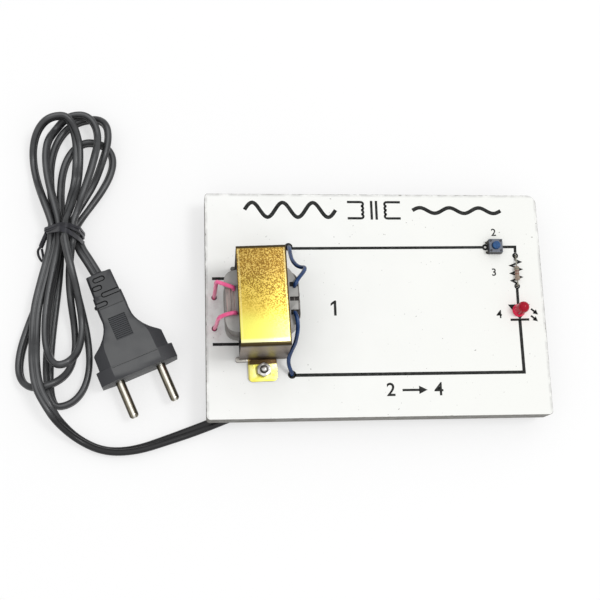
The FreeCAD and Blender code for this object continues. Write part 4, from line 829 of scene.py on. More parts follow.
# ------------------------------------------------------------------ bobbin and coil
# The coil is wound on a moulded nylon bobbin, primary inside, secondary outside, with polyester tape
# between them and round the outside. Its layers show end on where the top flange is cut away.
BOBBIN_BASE, BOBBIN_TOP, FLANGE = 0.0226, 0.0416, 0.0010
FLANGE_LEFT, FLANGE_RIGHT, FLANGE_FRONT, FLANGE_BACK = 0.0158, 0.0152, 0.0131, 0.0127
TUBE_X, TUBE_Y, BORE_X, BORE_Y, TUBE_CORNER, BORE_CORNER = 0.0111, 0.0075, 0.0101, 0.0065, 0.0012, 0.0004
FLANGE_WINDOWS = mm([((-20, -6.2), (-9.9, 5.7)), ((11.2, 4.8), (20, 6.8)), ((10.8, -1.2), (20, 0.6)),
                     ((11.2, -7), (20, -4.9))])


def flange_outline():
    """Boxy with round corners on the left, one long arc on the right."""
    right, left = [], []
    for step in range(25):
        y = -FLANGE_FRONT + (FLANGE_FRONT + FLANGE_BACK) * (1 - cos(pi * step / 24)) / 2
        right.append((FLANGE_RIGHT * (1 - (abs(y) / 0.017) ** 2.3) ** (1 / 2.3), y))
        away = min(1.0, abs(y + 0.0002) / 0.0131)
        left.append((-FLANGE_LEFT * max(0.62, (1 - away ** 6) ** (1 / 6)), y))
    return right + left[::-1]


def round_rectangle(half_x, half_y, corner):
    middles = [(half_x - corner, half_y - corner, 0), (corner - half_x, half_y - corner, 90),
               (corner - half_x, corner - half_y, 180), (half_x - corner, corner - half_y, 270)]
    return [point for x, y, start in middles for point in arc((x, y), corner, start, start + 90)]


bore = round_rectangle(BORE_X, BORE_Y, BORE_CORNER)
tube = flat_piece("bobbin_tube", [round_rectangle(TUBE_X, TUBE_Y, TUBE_CORNER), bore], BOBBIN_BASE + 0.0002,
                  BOBBIN_TOP - 0.0002)
low_flange = flat_piece("low_flange", [flange_outline(), bore], BOBBIN_BASE, BOBBIN_BASE + FLANGE)
top_flange = flat_piece("top_flange", [flange_outline(), bore], BOBBIN_TOP - FLANGE, BOBBIN_TOP)
for low, high in FLANGE_WINDOWS:
    cut(top_flange, cuboid("flange_window", (*low, 0.04), (*high, 0.05)))
for part in (low_flange, top_flange):
    soften(part, 0.0002)
bobbin = joined("wound_bobbin", [tube, low_flange, top_flange])
bobbin.data.transform(TRANSFORMER_PLACE)
bobbin_nylon, place = new_finish("bobbin_nylon")
nylon = place.noise(0.005, 3.0).rise(0.3, 0.75).between((0.370, 0.362, 0.342), (0.290, 0.285, 0.270))
rim = (place.axis("X") - TRANSFORMER_X).rise(0.0135, 0.0140)
place.finish((rim * 0.8).between(nylon, (0.045, 0.036, 0.030)), 0.42, place.noise(0.0012), 0.00004)
fit(bobbin, bobbin_nylon, "bobbin_plastic", "bobbin")

COIL_LOW, COIL_HIGH = BOBBIN_BASE + FLANGE, BOBBIN_TOP - FLANGE
WIRE_LAYER, TAPE_STARTS, TAPE_THICK = 0.00045, (0.00180, 0.00385), 0.00025


def coil_ring(inner, outer, high=COIL_HIGH):
    """One closed layer of the coil, from one build-up over the tube to the next."""
    outlines = [round_rectangle(TUBE_X + build, TUBE_Y + build * 1.05, TUBE_CORNER + build)
                for build in (outer, inner)]
    return flat_piece("coil_layer", outlines, COIL_LOW, high)


def wound_layers(name, start, count):
    """Layers of wire over one another, every second one a little lower at its end."""
    layers = [coil_ring(start + number * WIRE_LAYER, start + (number + 1) * WIRE_LAYER - 0.00005,
                        COIL_HIGH - 0.00025 * (number % 2)) for number in range(count)]
    coil = joined(name, layers)
    soften(coil, 0.00009, segments=1)
    coil.data.transform(TRANSFORMER_PLACE)
    return coil


def tape_turn(name, start):
    """The tape round the coil, from this build-up over the tube."""
    tape = coil_ring(start, start + TAPE_THICK)
    tape.name = name
    soften(tape, 0.00005, segments=1)
    tape.data.transform(TRANSFORMER_PLACE)
    return tape


primary = wound_layers("primary_coil", 0.0, 4)
inner_wrap = tape_turn("inner_wrap", TAPE_STARTS[0])
secondary = wound_layers("secondary_coil", TAPE_STARTS[0] + TAPE_THICK, 4)
outer_wrap = tape_turn("outer_wrap", TAPE_STARTS[1])
winding_ends, place = new_finish("winding_ends")
rosy = place.noise(0.0018, 2.0, (2.6, 0.25, 1.0)).rise(0.40, 0.62)
ends = rosy.between((0.440, 0.400, 0.370), (0.560, 0.430, 0.400))
turns = place.noise(0.0004, 2.0, (0.3, 0.3, 2.0))
ends = (place.noise(0.0011, 2.0, (3.0, 0.3, 1.0)).rise(0.5, 0.7) * 0.5).between(ends, (0.120, 0.090, 0.080))
ends = (place.axis("X") - TRANSFORMER_X).rise(0.003, 0.006).between(ends, (0.020, 0.015, 0.012))
place.finish(ends, 0.55, turns, 0.00008)
coil_tape, place = new_finish("coil_tape")
tape = place.noise(0.004, 3.0, (1.0, 1.0, 0.4)).rise(0.3, 0.7)
place.finish(tape.between((0.225, 0.205, 0.188), (0.160, 0.148, 0.136)), 0.35, place.noise(0.002, 2.0, (1.0, 1.0, 0.2)),
             0.00008)
for piece, node, material, slot in ((primary, "primary_winding", winding_ends, "copper"),
                                    (inner_wrap, "interlayer_tape", coil_tape, "coil_tape"),
                                    (secondary, "secondary_winding", winding_ends, "copper"),
                                    (outer_wrap, "outer_tape", coil_tape, "coil_tape")):
    fit(piece, material, slot, node)


# ------------------------------------------------------------------ leads
# Stranded wire in PVC, pink from the primary and blue from the secondary. Each comes up through the top
# flange, bends down beside the coil, goes through its hole in the board and runs on underneath.
LEAD_WIDTH = 0.0017
PRIMARY_A = mm([(-63.9, 0.2, 40.6), (-63.9, 0.3, 42), (-64.5, 0.6, 43.1), (-67.2, 1.7, 42.5), (-69.9, 3.1, 40.9),
                (-70.9, 3.8, 39.4), (-71, 3.7, 37), (-71.1, 3.2, 32), (-71.2, 2.9, 24), (-71.3, 2.8, 16.5)])
PRIMARY_B = mm([(-63.1, -10, 40.6), (-63.1, -10, 42.4), (-64, -10.1, 43.3), (-66.9, -10.6, 42.7),
                (-69.5, -11.2, 40.8), (-70.3, -11.5, 37.8), (-70.6, -11.7, 32), (-70.8, -11.4, 24),
                (-71.3, -10.9, 17.2)])
SECONDARY_A = mm([(-39.1, 1.2, 40.6), (-39.1, 1.2, 42.4), (-38.7, 2.2, 43.5), (-37.4, 4.4, 42.7), (-35.2, 7.4, 40),
                  (-34.1, 9.4, 38), (-34, 10.8, 36.2), (-35.4, 11.3, 34), (-37, 13, 31.2), (-38.4, 16.2, 28),
                  (-38.6, 20.2, 23.8), (-38.5, 23.8, 20.2), (-38.5, 25.5, 17.2), (-38.5, 25.5, 9),
                  (-38.3, 25.5, 5.5), (-36, 25.4, 4.9), (-10, 24.7, 4.9), (20, 23.8, 4.9), (48, 23, 4.9),
                  (50.4, 23, 5.5), (50.65, 22.95, 8), (50.65, 22.95, 11.8)])
SECONDARY_B = mm([(-39.4, -9.9, 40.6), (-39.4, -9.9, 42.4), (-39.1, -10.6, 43.6), (-38.4, -13.2, 43.6),
                  (-38.2, -16.6, 42.8), (-38.4, -19.3, 39), (-38.6, -21.2, 34), (-39.6, -23, 29),
                  (-40.7, -25.8, 24.5), (-40.3, -28.2, 21.4), (-39.2, -30, 19), (-38.5, -31.2, 16.8),
                  (-38.5, -31.2, 9), (-38.3, -31.2, 5.5), (-36, -31.2, 4.9), (-5, -31.2, 4.9), (30, -31.2, 4.9),
                  (60, -31.2, 4.9), (62.4, -30.8, 4.9), (62.6, -29, 4.9), (62.6, -18, 4.9), (62.6, -6.2, 4.9)])


def under_board(hole):
    """A pink lead's way down through its hole and along the underside."""
    x, y = hole
    return [(x, y, 0.0090), (x, y, 0.0052)] + [(along, y, 0.00435) for along in (-0.0705, -0.0660, -0.0610)]


def bent_lead(name, points):
    """One insulated lead along its points."""
    lead = alone(made_solid(spline_curve(name, points, radius=LEAD_WIDTH / 2, roundness=5, fineness=10)))
    bpy.ops.object.shade_smooth()
    return lead


pink_pvc = mottled("pink_pvc", ((0.80, 0.095, 0.260), (0.90, 0.150, 0.345)), 0.003, 0.28, 0.0006, 0.00003,
                   Coat_Weight=0.2, Specular_IOR_Level=0.35)
blue_pvc = mottled("blue_pvc", ((0.008, 0.026, 0.090), (0.014, 0.052, 0.165)), 0.003, 0.22, 0.0006, 0.00003,
                   Specular_IOR_Level=0.35)
for name, points, node, pvc, slot in (
        ("pink_lead_back", PRIMARY_A + under_board(LEAD_HOLES[0]), "primary_lead_a", pink_pvc, "pink_wire"),
        ("pink_lead_front", PRIMARY_B + under_board(LEAD_HOLES[1]), "primary_lead_b", pink_pvc, "pink_wire"),
        ("blue_lead_back", SECONDARY_A, "secondary_lead_a", blue_pvc, "blue_wire"),
        ("blue_lead_front", SECONDARY_B, "secondary_lead_b", blue_pvc, "blue_wire")):
    fit(bent_lead(name, points), pvc, slot, node)


# ------------------------------------------------------------------ screws and nuts
# Two M3 machine screws come up through the board and the frame's tabs, each with a hexagon nut on top and
# a washer under its slotted head. The screw's rounded end stands a thread or two proud of the nut.
SCREW_BOTTOM, SCREW_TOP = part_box("mounting_bolts")[0][2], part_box("mounting_bolts")[1][2]
NUT_LOW, NUT_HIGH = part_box("mounting_nuts")[0][2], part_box("mounting_nuts")[1][2]
SCREW_RADIUS, THREAD_DEPTH, THREAD_PITCH = 0.0015, 0.00016, 0.0005
NUT_FLATS, NUT_CHAMFER, HEAD_RADIUS, HEAD_HEIGHT = 0.0055, 0.00042, 0.0028, 0.0020
HEAD_ROUND, END_ROUND, DRIVE_HALF, DRIVE_DEPTH = 0.0008, 0.00085, 0.0004, 0.0009


def round_rim(piece, level, width, segments=3):
    """The rim of a turned piece at this height is rounded."""
    round_edges(piece, lambda a, b: abs(a.z - level) + abs(b.z - level) < 2e-6, width, segments)


def hexagon_nut(at):
    corner = NUT_FLATS / sqrt(3)
    nut = cylinder("nut", corner, NUT_LOW, NUT_HIGH, sides=6, at=at)
    blank = cylinder("nut_blank", corner - 0.00002, NUT_LOW, NUT_HIGH, sides=48, at=at)
    for level in (NUT_LOW, NUT_HIGH):
        round_rim(blank, level, NUT_CHAMFER, segments=2)
    cut(nut, blank, "INTERSECT")
    cut(nut, cylinder("nut_bore", SCREW_RADIUS, NUT_LOW - 0.001, NUT_HIGH + 0.001, at=at))
    return soften(nut, 0.00005, segments=1)


def profile_line(name, profile):
    """A line of (radius, height) points beside the Z axis, alone and active, ready to be turned about it."""
    data = bpy.data.meshes.new(name)
    data.from_pydata([(radius, 0, height) for radius, height in profile],
                     [(index, index + 1) for index in range(len(profile) - 1)], [])
    return alone(new_object(name, data))


def threaded_rod(low, high, at):
    """The screw's end as one turned ridge after another, each a thread pitch above the last."""
    root = SCREW_RADIUS - THREAD_DEPTH
    rod = profile_line("thread", [(root, low), (SCREW_RADIUS, low + THREAD_PITCH / 2), (root, low + THREAD_PITCH)])
    turn = rod.modifiers.new("turn", "SCREW")
    turn.steps = turn.render_steps = 20
    turn.screw_offset, turn.iterations = THREAD_PITCH, ceil((high - low) / THREAD_PITCH) - 1
    turn.use_merge_vertices = True
    bpy.ops.object.modifier_apply(modifier="turn")
    rod.data.transform(Matrix.Translation((*at, 0.0)))
    return face_outwards(rod)


def screw(at):
    shank = cylinder("shank", SCREW_RADIUS - THREAD_DEPTH, SCREW_BOTTOM + HEAD_HEIGHT, SCREW_TOP, at=at)
    round_rim(shank, SCREW_TOP, END_ROUND, segments=5)
    head = cylinder("head", HEAD_RADIUS, SCREW_BOTTOM, SCREW_BOTTOM + HEAD_HEIGHT, at=at)
    round_rim(head, SCREW_BOTTOM, HEAD_ROUND, segments=4)
    cut(head, cuboid("slot", (at[0] - 0.004, at[1] - DRIVE_HALF, SCREW_BOTTOM - 0.001),
                     (at[0] + 0.004, at[1] + DRIVE_HALF, SCREW_BOTTOM + DRIVE_DEPTH)))
    return [shade(shank), soften(head, 0.00006, segments=1), threaded_rod(NUT_LOW - 0.0012, SCREW_TOP - 0.0009, at)]


def plan_distance(place, at):
    """How far a spot is from this place, seen from above."""
    aside = place.node("ShaderNodeVectorMath", {"operation": "SUBTRACT"}, {0: place, 1: (*at, 0.0)})
    level = place.node("ShaderNodeVectorMath", {"operation": "MULTIPLY"}, {0: aside, 1: (1.0, 1.0, 0.0)})
    return place.node("ShaderNodeVectorMath", {"operation": "LENGTH"}, {0: level}, "Value")


fastener_places = [tuple((TRANSFORMER_PLACE @ Vector((*bolt_place(end), 0.0))).xy) for end in (1, -1)]
nuts = joined("frame_nuts", [hexagon_nut(at) for at in fastener_places])
screws = joined("frame_screws", [part for at in fastener_places for part in screw(at)])
bright_zinc, place = new_finish("bright_zinc")
rings = [plan_distance(place, at) for at in fastener_places]
away = rings[0].maths("MINIMUM", *rings)
# Painted shade: a near black ring round each screw where it leaves the nut.
bore_shade = away.rise(0.00112, 0.00128) * away.rise(0.00190, 0.00168) * place.axis("Z").rise(0.0170, 0.0180)
steel = place.noise(0.0012, 3.0).rise(0.35, 0.7).between((0.70, 0.69, 0.67), (0.50, 0.49, 0.47))
# Painted shade: faces turned sideways are darker.
upright = place.normal().axis("Z").rise(0.15, 0.55)
steel = upright.between((0.20, 0.19, 0.17), steel)
place.finish((bore_shade * 0.92).between(steel, (0.020, 0.018, 0.015)), 0.22 + 0.15 * place.noise(0.0008), Metallic=0.9)
coat(bright_zinc, nodes["mounting_washers"], nodes["cord_clip_screw"])
fit(nuts, bright_zinc, "bright_steel", "mounting_nuts")
fit(screws, bright_zinc, "bright_steel", "mounting_bolts")


# ------------------------------------------------------------------ push switch
# A 6 mm tactile switch: a black moulded base, a pressed steel cover held by four melted pegs, and a round
# blue button that moves 0.25 mm and flattens the snap dome under it.
switch_black = mottled("switch_moulding", ((0.012, 0.013, 0.018), (0.030, 0.031, 0.040)), 0.0008, 0.5, 0.0003, 0.00002,
                       3.0, (0.3, 0.75))
coat(switch_black, nodes["switch_base"])
cover_steel, place = new_finish("switch_cover_steel")
brushed = place.noise(0.0004, 3.0, (0.15, 1.0, 1.0))
place.finish(brushed.between((0.060, 0.068, 0.085), (0.135, 0.145, 0.170)), 0.32 + 0.2 * brushed, brushed, 0.00001,
             Metallic=0.9)
coat(cover_steel, nodes["switch_cover"])
button_blue = mottled("switch_button_blue", ((0.009, 0.056, 0.170), (0.015, 0.082, 0.225)), 0.0012, 0.42, 0.0004,
                      0.00002, Specular_IOR_Level=0.25)
coat(button_blue, nodes["switch_button"])
spring_steel, place = new_finish("spring_steel")
place.finish(place.noise(0.0008).between((0.50, 0.50, 0.49), (0.66, 0.66, 0.65)), 0.25, Metallic=1.0)
coat(spring_steel, nodes["switch_dome"])
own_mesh(nodes["switch_dome"])
tinned_wire, place = new_finish("tinned_wire")
place.finish(place.noise(0.0015, 3.0).rise(0.35, 0.75).between((0.30, 0.29, 0.24), (0.17, 0.165, 0.13)),
             0.3 + 0.2 * place.noise(0.0006), Metallic=0.9)
coat(tinned_wire, nodes["switch_legs"], nodes["resistor_leads"], nodes["led_leads"])


# ------------------------------------------------------------------ resistor
# A carbon film resistor, dipped in tan lacquer over its end caps, with four painted colour bands. Its
# tinned wires are bent down through the board and soldered underneath.
BAND_WIDTH = 0.00062
BANDS = [(0.00200, (0.160, 0.165, 0.110)), (0.00090, (0.150, 0.060, 0.040)),
         (-0.00030, (0.210, 0.085, 0.055)), (-0.00200, (0.260, 0.190, 0.135))]
resistor_lacquer, place = new_finish("resistor_lacquer")
along = place.axis("Y") - RESISTOR_Y
colour = place.noise(0.0012, 2.0).rise(0.3, 0.7).between((0.235, 0.170, 0.128), (0.290, 0.212, 0.160))
for middle, band in BANDS:
    colour = abs(along - middle).rise(BAND_WIDTH / 2 + 0.00005, BAND_WIDTH / 2 - 0.00005).between(colour, band)
place.finish(colour, 0.3, place.noise(0.0008), 0.00003, Coat_Weight=0.3)
coat(resistor_lacquer, nodes["resistor_body"])


# ------------------------------------------------------------------ lamp
# A 5 mm light-emitting diode with a domed lens and a rim at its foot, cast in red epoxy round its lead
# frame. Its legs are soldered under the board, and it leans a little to the back right.
LENS_PROFILE = mm([(0, 0), (2.9, 0), (2.9, 1), (2.5, 1.2), (2.5, 6)])
LENS_LEAN = radians(5)


def turned(name, profile, steps=48):
    """A solid turned about Z from (radius, height) points that start and end on the axis."""
    piece = profile_line(name, profile)
    bpy.ops.object.mode_set(mode="EDIT")
    bpy.ops.mesh.select_all(action="SELECT")
    bpy.ops.mesh.spin(steps=steps, angle=2 * pi, center=(0, 0, 0), axis=(0, 0, 1))
    bpy.ops.mesh.select_all(action="SELECT")
    bpy.ops.mesh.remove_doubles(threshold=0.000001)
    bpy.ops.object.mode_set(mode="OBJECT")
    return face_outwards(piece)


lens_dome = arc((0.0, 0.0061), 0.0025, 0, 84, 12)
lamp_lens = soften(turned("lamp_lens", LENS_PROFILE + lens_dome + [(0.0, 0.0086)]), 0.00015)
lamp_lens.data.transform(Matrix.Translation((LAMP_AT[0] + 0.0004, LAMP_AT[1] + 0.0002, SHEET_TOP))
                         @ Matrix.Rotation(LENS_LEAN, 4, (-0.45, 0.89, 0.0)))
red_epoxy, place = new_finish("red_epoxy")
# Painted light: the epoxy is bright pink at its foot and goes dark red towards the top of the dome.
height = place.axis("Z") - SHEET_TOP + 0.0008 * place.noise(0.002, 2.0)
place.finish(height.rise(0.0005, 0.0062).between((0.80, 0.026, 0.085), (0.36, 0.002, 0.018)), 0.14,
             Specular_IOR_Level=0.2, Coat_Weight=0.05)
fit(lamp_lens, red_epoxy, "red_lens", "led_lens")


# ------------------------------------------------------------------ under the board
# The cord's cores meet the primary leads in shrunk sleeves, the clip holds the cord to the board with a
# wood screw, and the joints to the switch and the lamp are soldered.
solder = mottled("solder", ((0.50, 0.50, 0.50), (0.68, 0.68, 0.67)), 0.0010, 0.28, 0.0008, 0.00006, 3.0, Metallic=0.9)
sleeve_black = mottled("shrunk_sleeve", ((0.016, 0.016, 0.018), (0.030, 0.030, 0.032)), 0.002, 0.45, 0.0015, 0.00010,
                       stretch=(0.3, 1.0, 1.0))
core_pvc = mottled("core_insulation", ((0.17, 0.060, 0.030), (0.22, 0.080, 0.040)), 0.003, 0.4, 0.0006, 0.00003)
clip_plastic = mottled("clip_plastic", ((0.62, 0.61, 0.57), (0.54, 0.53, 0.49)), 0.003, 0.5, 0.0007, 0.00003)
for material, node in ((solder, "solder_joints"), (sleeve_black, "splice_sleeves"), (core_pvc, "cord_cores"),
                       (clip_plastic, "cord_clip")):
    coat(material, nodes[node])


# ------------------------------------------------------------------ plug
# A moulded two-pin plug in soft black PVC: a slotted neck that lets the cord bend, a flared body with a
# flat panel between sloping wings, a ribbed grip, and a broad rim at the face. The pins are plated brass.
PLUG_AT = (-0.1211, 0.0149, 0.0070)
PLUG_TURN = radians(-67.2)
# Along the plug: how far each station is from the neck's end, half its width, half the panel's width, and
# half the height at the panel and at the outer edge.
PLUG_STATIONS = mm([(-1, 3.1, 1.8, 2.2, 1.3), (0, 3.2, 1.8, 2.3, 1.4), (0, 5.6, 4.8, 4.8, 4),
                    (9.8, 5.9, 5.1, 5.2, 4.3), (10.1, 6.4, 5.5, 5.3, 4.4), (16, 6.5, 5.7, 5.6, 4.7),
                    (19, 6.4, 5.7, 5.7, 4.9), (22, 6.6, 5.9, 6, 5.2), (24, 7.1, 6.4, 6.3, 5.5),
                    (26, 8, 7.3, 6.5, 5.7), (28, 9.3, 8.5, 6.6, 5.7), (30, 11.1, 9.5, 6.8, 5.4),
                    (31.5, 12.9, 9.9, 6.9, 5), (32.5, 14.3, 10.1, 6.9, 4.7), (33.5, 15.4, 10.2, 6.9, 4.5),
                    (40.3, 15.6, 10.4, 7, 4.6), (40.5, 17.2, 10.5, 7, 4.4), (46.8, 17.2, 10.5, 7, 4.4)])
# Slots across the neck, above and below: middle along the plug, both ends across it.
TOP_SLOTS = mm([(2.7, -3.6, 2), (6.2, -5.2, -0.6), (10, -2.6, 9), (13.7, -9, -1)])
UNDER_SLOTS = mm([(4.6, -3, 3), (8.3, -2, 9), (12.1, -9, 0.4)])
SLOT_WIDTH, SLOT_RIM, SLOT_DEPTH, SLOT_FLOOR = 0.0025, 0.00055, 0.0014, 0.00035
NECK_TOP, NECK_RISE = 0.0048, 0.05
# Fine lines across the plug: place along it, half length, height of the surface.
PARTING_LINES = [(0.0157, 0.0054, 0.00555), (0.0413, 0.0104, 0.0070)]
LINE_DEPTH, LINE_HALF = 0.00035, 0.00014
GRIP_START, GRIP_PITCH, GRIP_LINES, GRIP_HALF = 0.0206, 0.00088, 12, 0.0038
GRIP_FLOOR, GRIP_RUN_OUT, RIB_HEIGHT, ABOVE_PLUG = 0.0053, 0.0011, 0.0005, 0.0120
NUB_HALF = 0.0012


def plug_shell():
    """The moulding drawn out station by station from its collar."""
    bpy.ops.object.select_all(action="DESELECT")
    bpy.ops.mesh.primitive_circle_add(vertices=8, radius=0.001, fill_type="NGON", rotation=(0, pi / 2, 0))
    shell = settled("moulded_plug")
    shell.data.transform(Matrix.Rotation(radians(22.5), 4, "X"))
    bpy.ops.object.mode_set(mode="EDIT")
    bpy.ops.mesh.select_all(action="SELECT")
    for number, (along, half, panel, top, edge) in enumerate(PLUG_STATIONS):
        if number:
            bpy.ops.mesh.extrude_region_move()
        mesh = bmesh.from_edit_mesh(shell.data)
        corners = sorted((v for v in mesh.verts if v.select), key=lambda v: abs(v.co.y))
        for rank, corner in enumerate(corners):
            y, z = (panel, top) if rank < 4 else (half, edge)
            corner.co = (along, copysign(y, corner.co.y), copysign(z, corner.co.z))
        bmesh.update_edit_mesh(shell.data)
    bpy.ops.object.mode_set(mode="OBJECT")
    return face_outwards(shell)


def stadium(along, near, far, half):
    """A slot's outline with round ends, across the plug."""
    turns = [pi * step / 8 for step in range(9)]
    return ([(along + half * cos(turn), far - half + half * sin(turn)) for turn in turns]
            + [(along - half * cos(turn), near + half - half * sin(turn)) for turn in turns])


def slot_cutters(along, near, far, side):
    """A slot in the neck is a deep ring groove round a lower floor, cut into the top or the underside."""
    surface, half, rim = NECK_TOP + NECK_RISE * along, SLOT_WIDTH / 2, SLOT_RIM
    ring = [stadium(along, near, far, half), stadium(along, near + rim, far - rim, half - rim)]
    for outlines, deep in ((ring, SLOT_DEPTH), (ring[:1], SLOT_FLOOR)):
        low, high = (surface - deep, 0.02) if side > 0 else (-0.02, -surface + deep)
        yield flat_piece("plug_slot", outlines, low, high)


def grip_cutter():
    """The grip's hollow: deep at its start, run out at its end, with a fine rib at every pitch."""
    end = GRIP_START + GRIP_PITCH * GRIP_LINES
    profile = [(end, ABOVE_PLUG), (GRIP_START, ABOVE_PLUG), (GRIP_START, 0.0052)]
    for line in range(GRIP_LINES):
        start, level = GRIP_START + GRIP_PITCH * line, GRIP_FLOOR + GRIP_RUN_OUT * line / GRIP_LINES
        profile += [(start + 0.00010, level), (start + 0.00040, level), (start + 0.00052, level + RIB_HEIGHT),
                    (start + 0.00082, level + RIB_HEIGHT)]
    profile.append((end, 0.0066))
    cutter = flat_piece("grip_cutter", [profile], -GRIP_HALF, GRIP_HALF)
    cutter.data.transform(Matrix.Rotation(pi / 2, 4, "X"))
    return cutter


plug = soften(plug_shell(), 0.00022, angle=24)
for slot, side in [(slot, 1) for slot in TOP_SLOTS] + [(slot, -1) for slot in UNDER_SLOTS]:
    for cutter in slot_cutters(*slot, side):
        cut(plug, cutter)
cut(plug, grip_cutter())
for along, half, surface in PARTING_LINES:
    for side in (1, -1):
        low, high = sorted((side * (surface - LINE_DEPTH), side * 0.0100))
        cut(plug, cuboid("parting_line", (along - LINE_HALF, -half, low), (along + LINE_HALF, half, high)))
nub = cylinder("nub", 0.0008, -NUB_HALF, NUB_HALF, sides=20, at=(0.0131, -0.0064))
for level in (NUB_HALF, -NUB_HALF):
    round_rim(nub, level, 0.0005)
plug = shade(joined("moulded_plug", [plug, nub]), 32)
plug.data.transform(Matrix.Translation(PLUG_AT) @ Matrix.Rotation(PLUG_TURN, 4, "Z"))
plug_pvc, place = new_finish("plug_pvc")
grain = place.noise(0.00035, 2.0)
normal, facing = place.normal(), place.normal().axis("Z")
front = (normal.axis("X") * cos(PLUG_TURN) + normal.axis("Y") * sin(PLUG_TURN)).rise(0.80, 0.95)
flat = facing.rise(0.975, 0.9945) + 0.85 * front
x, y = place.axis("X") - PLUG_AT[0], place.axis("Y") - PLUG_AT[1]
ahead = x * cos(PLUG_TURN) + y * sin(PLUG_TURN)
aside = abs(y * cos(PLUG_TURN) - x * sin(PLUG_TURN))
grip = aside.rise(GRIP_HALF + 0.0001, GRIP_HALF - 0.0001) * ahead.rise(GRIP_START - 0.0003, GRIP_START)
grip = grip * ahead.rise(0.0313, 0.0308)
tone = place.noise(0.010, 2.0).rise(0.35, 0.7).between((0.068, 0.070, 0.073), (0.084, 0.086, 0.088))
tone = (ahead.rise(0.0170, 0.0120) * 0.35).between(tone, (0.026, 0.027, 0.030))
# Painted shade: the ribbed grip's hollow is darker.
tone = (grip * 0.65).between(tone, (0.022, 0.025, 0.030))
# Painted shade: the slots in the neck are near black inside.
slot_shade = (0.0040 + NECK_RISE * ahead - abs(place.axis("Z") - PLUG_AT[2])).rise(0.0, 0.0002)
tone = (slot_shade * ahead.rise(0.0012, 0.0014) * ahead.rise(0.0166, 0.0164)).between(tone, (0.012, 0.013, 0.015))
# Only faces turned straight up and the front face keep the plug's tone; the sloping wings and sides get darker tones,
# darkest where steepest: painted shade.
place.finish(flat.between(facing.rise(0.1, 0.7).between((0.010, 0.010, 0.011), (0.024, 0.025, 0.029)), tone),
             0.50 + 0.12 * grain, grain, 0.000015)
coat(plug_pvc, nodes["plug_pin_carrier"])
fit(plug, plug_pvc, "plug_black", "plug_body")

pin_nickel, place = new_finish("pin_nickel")
normal = place.normal()
across = normal.axis("Y") * cos(PLUG_TURN) - normal.axis("X") * sin(PLUG_TURN)
# Painted highlight: a pale stripe along each pin's middle; painted shade: its sides go dark.
highlight_stripe = across.rise(-0.34, -0.12) * across.rise(0.30, 0.10)
dim = place.noise(0.004, 3.0).rise(0.4, 0.7).between((0.34, 0.31, 0.24), (0.22, 0.195, 0.145))
dim = abs(across).rise(0.50, 0.85).between(dim, (0.075, 0.066, 0.046))
place.finish(highlight_stripe.between(dim, (0.93, 0.91, 0.84)), 0.17 + 0.10 * place.noise(0.0009), Metallic=1.0)
coat(pin_nickel, nodes["plug_pins"])


# ------------------------------------------------------------------ twist tie
# A twist tie, a wire in a flat black plastic strip, goes three times round the waist of the folded cord. Its
# ends are twisted together on the left, run down beside the cord and end in a small open loop.
TIE_THICK, WIRE_RADIUS, TWIST_RADIUS, TWISTS, SUNK_IN, WAIST_REACH = 0.00055, 0.00055, 0.0006, 4, 0.0003, 0.0016
# Each turn: its middle along the bundle, its breadth, how much it slants, and its place outside the cord.
TIE_TURNS = [(0.0352, 0.0011, -0.04, 0.00085), (0.0342, 0.0012, -0.10, 0.00045), (0.0324, 0.0022, -0.30, 0.0)]
TIE_TAIL = mm([(-144, 34.4, 6.2), (-144.9, 32.8, 5.2), (-145.8, 31, 4.4), (-146.6, 29.2, 3.8)])
TIE_LOOP = mm([(-146.6, 29.2, 3.8), (-147.6, 28.4, 3.4), (-148.1, 27.2, 2.8), (-147.8, 25.4, 2.2),
               (-146.8, 23.6, 1.6), (-145.9, 22.9, 1.4), (-145.6, 24.1, 1.8), (-145.9, 26.1, 2.6),
               (-146.3, 28.4, 3.4)])


def waist_outline(level, reach):
    """The hull round the cord's strands near this level, this far outside them, as (x, z) points."""
    spots, radius = [], CORD_WIDTH / 2 - SUNK_IN + reach
    for here, after in zip(cord_path, cord_path[1:]):
        for near in (level - WAIST_REACH, level, level + WAIST_REACH):
            if (here.y - near) * (after.y - near) <= 0 and here.y != after.y:
                spots.append(here.lerp(after, (near - here.y) / (after.y - here.y)))
    around = [2 * pi * step / 24 for step in range(24)]
    rim = [Vector((spot.x + radius * cos(turn), max(0.0002, spot.z + radius * sin(turn))))
           for spot in spots for turn in around]
    return [tuple(rim[index]) for index in geometry.convex_hull_2d(rim)]


def tie_turn(level, broad, slant, outside):
    """One turn of the flat strip round the waist, slanting across it."""
    outlines = [waist_outline(level, outside + TIE_THICK), waist_outline(level, outside)]
    turn = flat_piece("tie_turn", outlines, -broad / 2, broad / 2)
    middle = sum(point[0] for point in outlines[0]) / len(outlines[0])
    turn.data.transform(Matrix(((1, 0, 0, 0), (0, 0, -1, 0), (0, 1, 0, 0), (0, 0, 0, 1))))
    turn.data.transform(Matrix(((1, 0, 0, 0), (slant, 1, 0, level - slant * middle), (0, 0, 1, 0), (0, 0, 0, 1))))
    return soften(turn, 0.00012)


def wire(name, points):
    """A stretch of the twisted wire in its plastic."""
    return made_solid(spline_curve(name, points, radius=WIRE_RADIUS, roundness=3))


def twisted(points, turns, radius, phase):
    """A line winding round the middle line through the points."""
    line, count = [], 10 * turns
    for step in range(count + 1):
        along = step / count * (len(points) - 1)
        first = min(int(along), len(points) - 2)
        a, b = Vector(points[first]), Vector(points[first + 1])
        ahead = (b - a).normalized()
        side = ahead.cross(Vector((0, 0, 1))).normalized()
        rise = side.cross(ahead)
        turn = 2 * pi * step / 10 + phase
        line.append(a.lerp(b, along - first) + radius * (cos(turn) * side + sin(turn) * rise))
    return line


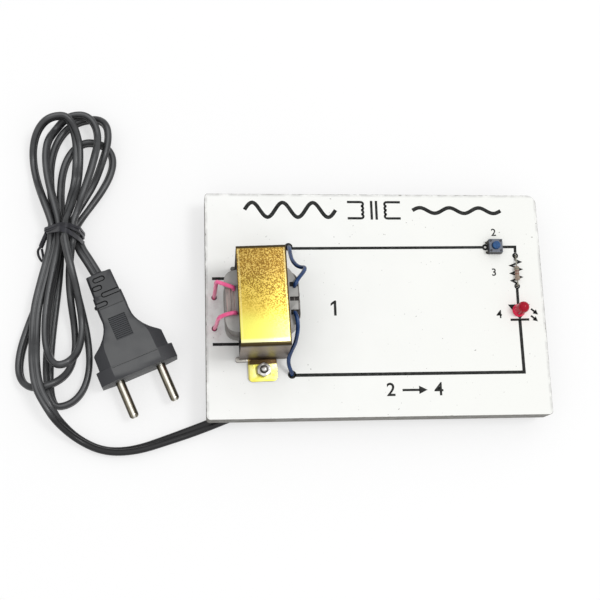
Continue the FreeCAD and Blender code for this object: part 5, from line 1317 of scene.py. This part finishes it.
tie_ends = [wire("tie_end", twisted(TIE_TAIL, TWISTS, TWIST_RADIUS, phase)) for phase in (0.0, pi)]
tie_ends.insert(0, wire("tie_loop", TIE_LOOP))
twist_tie = shade(joined("twist_tie", [tie_turn(*turn) for turn in TIE_TURNS] + tie_ends))
tie_plastic = mottled("tie_plastic", ((0.015, 0.015, 0.019), (0.028, 0.028, 0.035)), 0.003, 0.32, 0.0006, 0.00004,
                      spread=(0.35, 0.7), Specular_IOR_Level=0.3)
fit(twist_tie, tie_plastic, "tie_black", "cord_tie")
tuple(CORD_LEAD[0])
[tuple(point) for point in cord_path]


# ------------------------------------------------------------------ table and light
# The part lies on a white table under a pale overcast room, brightest overhead, with one softened lamp to
# the right that throws every shadow to the left.
BACKDROP_SHARE = 0.6
bpy.ops.mesh.primitive_plane_add(size=6.0, location=(0, 0, -0.0001))
floor = bpy.context.object
floor.name = "floor"
white_table, place = new_finish("white_table")
place.finish(place.noise(0.3, 2.0).between((0.890, 0.890, 0.890), (0.905, 0.905, 0.905)), 0.9)
tree = white_table.node_tree
ray = place.node("ShaderNodeLightPath")
seen = ray.larger(ray.node("ShaderNodeLightPath", output="Is Glossy Ray"))
seen = seen.larger(ray.node("ShaderNodeLightPath", output="Is Transmission Ray"))
glow = place.node("ShaderNodeEmission", inputs={"Strength": 1.0})
mixed = place.node("ShaderNodeMixShader", inputs={0: seen * BACKDROP_SHARE, 2: glow})
tree.links.new(tree.nodes["Principled BSDF"].outputs[0], mixed.socket.node.inputs[1])
tree.links.new(mixed.socket, tree.nodes["Material Output"].inputs["Surface"])
coat(white_table, floor)
floor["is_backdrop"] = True

world = bpy.data.worlds.new("room")
bpy.context.scene.world = world
world.use_nodes = True
sky = Paint(world.node_tree)
height = sky.node("ShaderNodeTexCoord", output="Generated").axis("Z").larger(0.0)
shine = world.node_tree.nodes["Background"]
shine.inputs["Color"].default_value = (1.0, 1.0, 1.0, 1.0)
world.node_tree.links.new((0.45 + 0.65 * height).socket, shine.inputs["Strength"])

bpy.ops.object.light_add(type="AREA", location=(1.20, 0.10, 2.85))
lamp = bpy.context.object
lamp.data.size = 0.75
lamp.data.energy = 26
lamp.rotation_euler = (Vector((-0.04, 0.0, 0.0)) - lamp.location).to_track_quat("-Z", "Y").to_euler()
bpy.context.scene.view_settings.view_transform = "Standard"

low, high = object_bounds()
{"cad": [list(cad_low), list(cad_high)], "visual": [list(low), list(high)]}
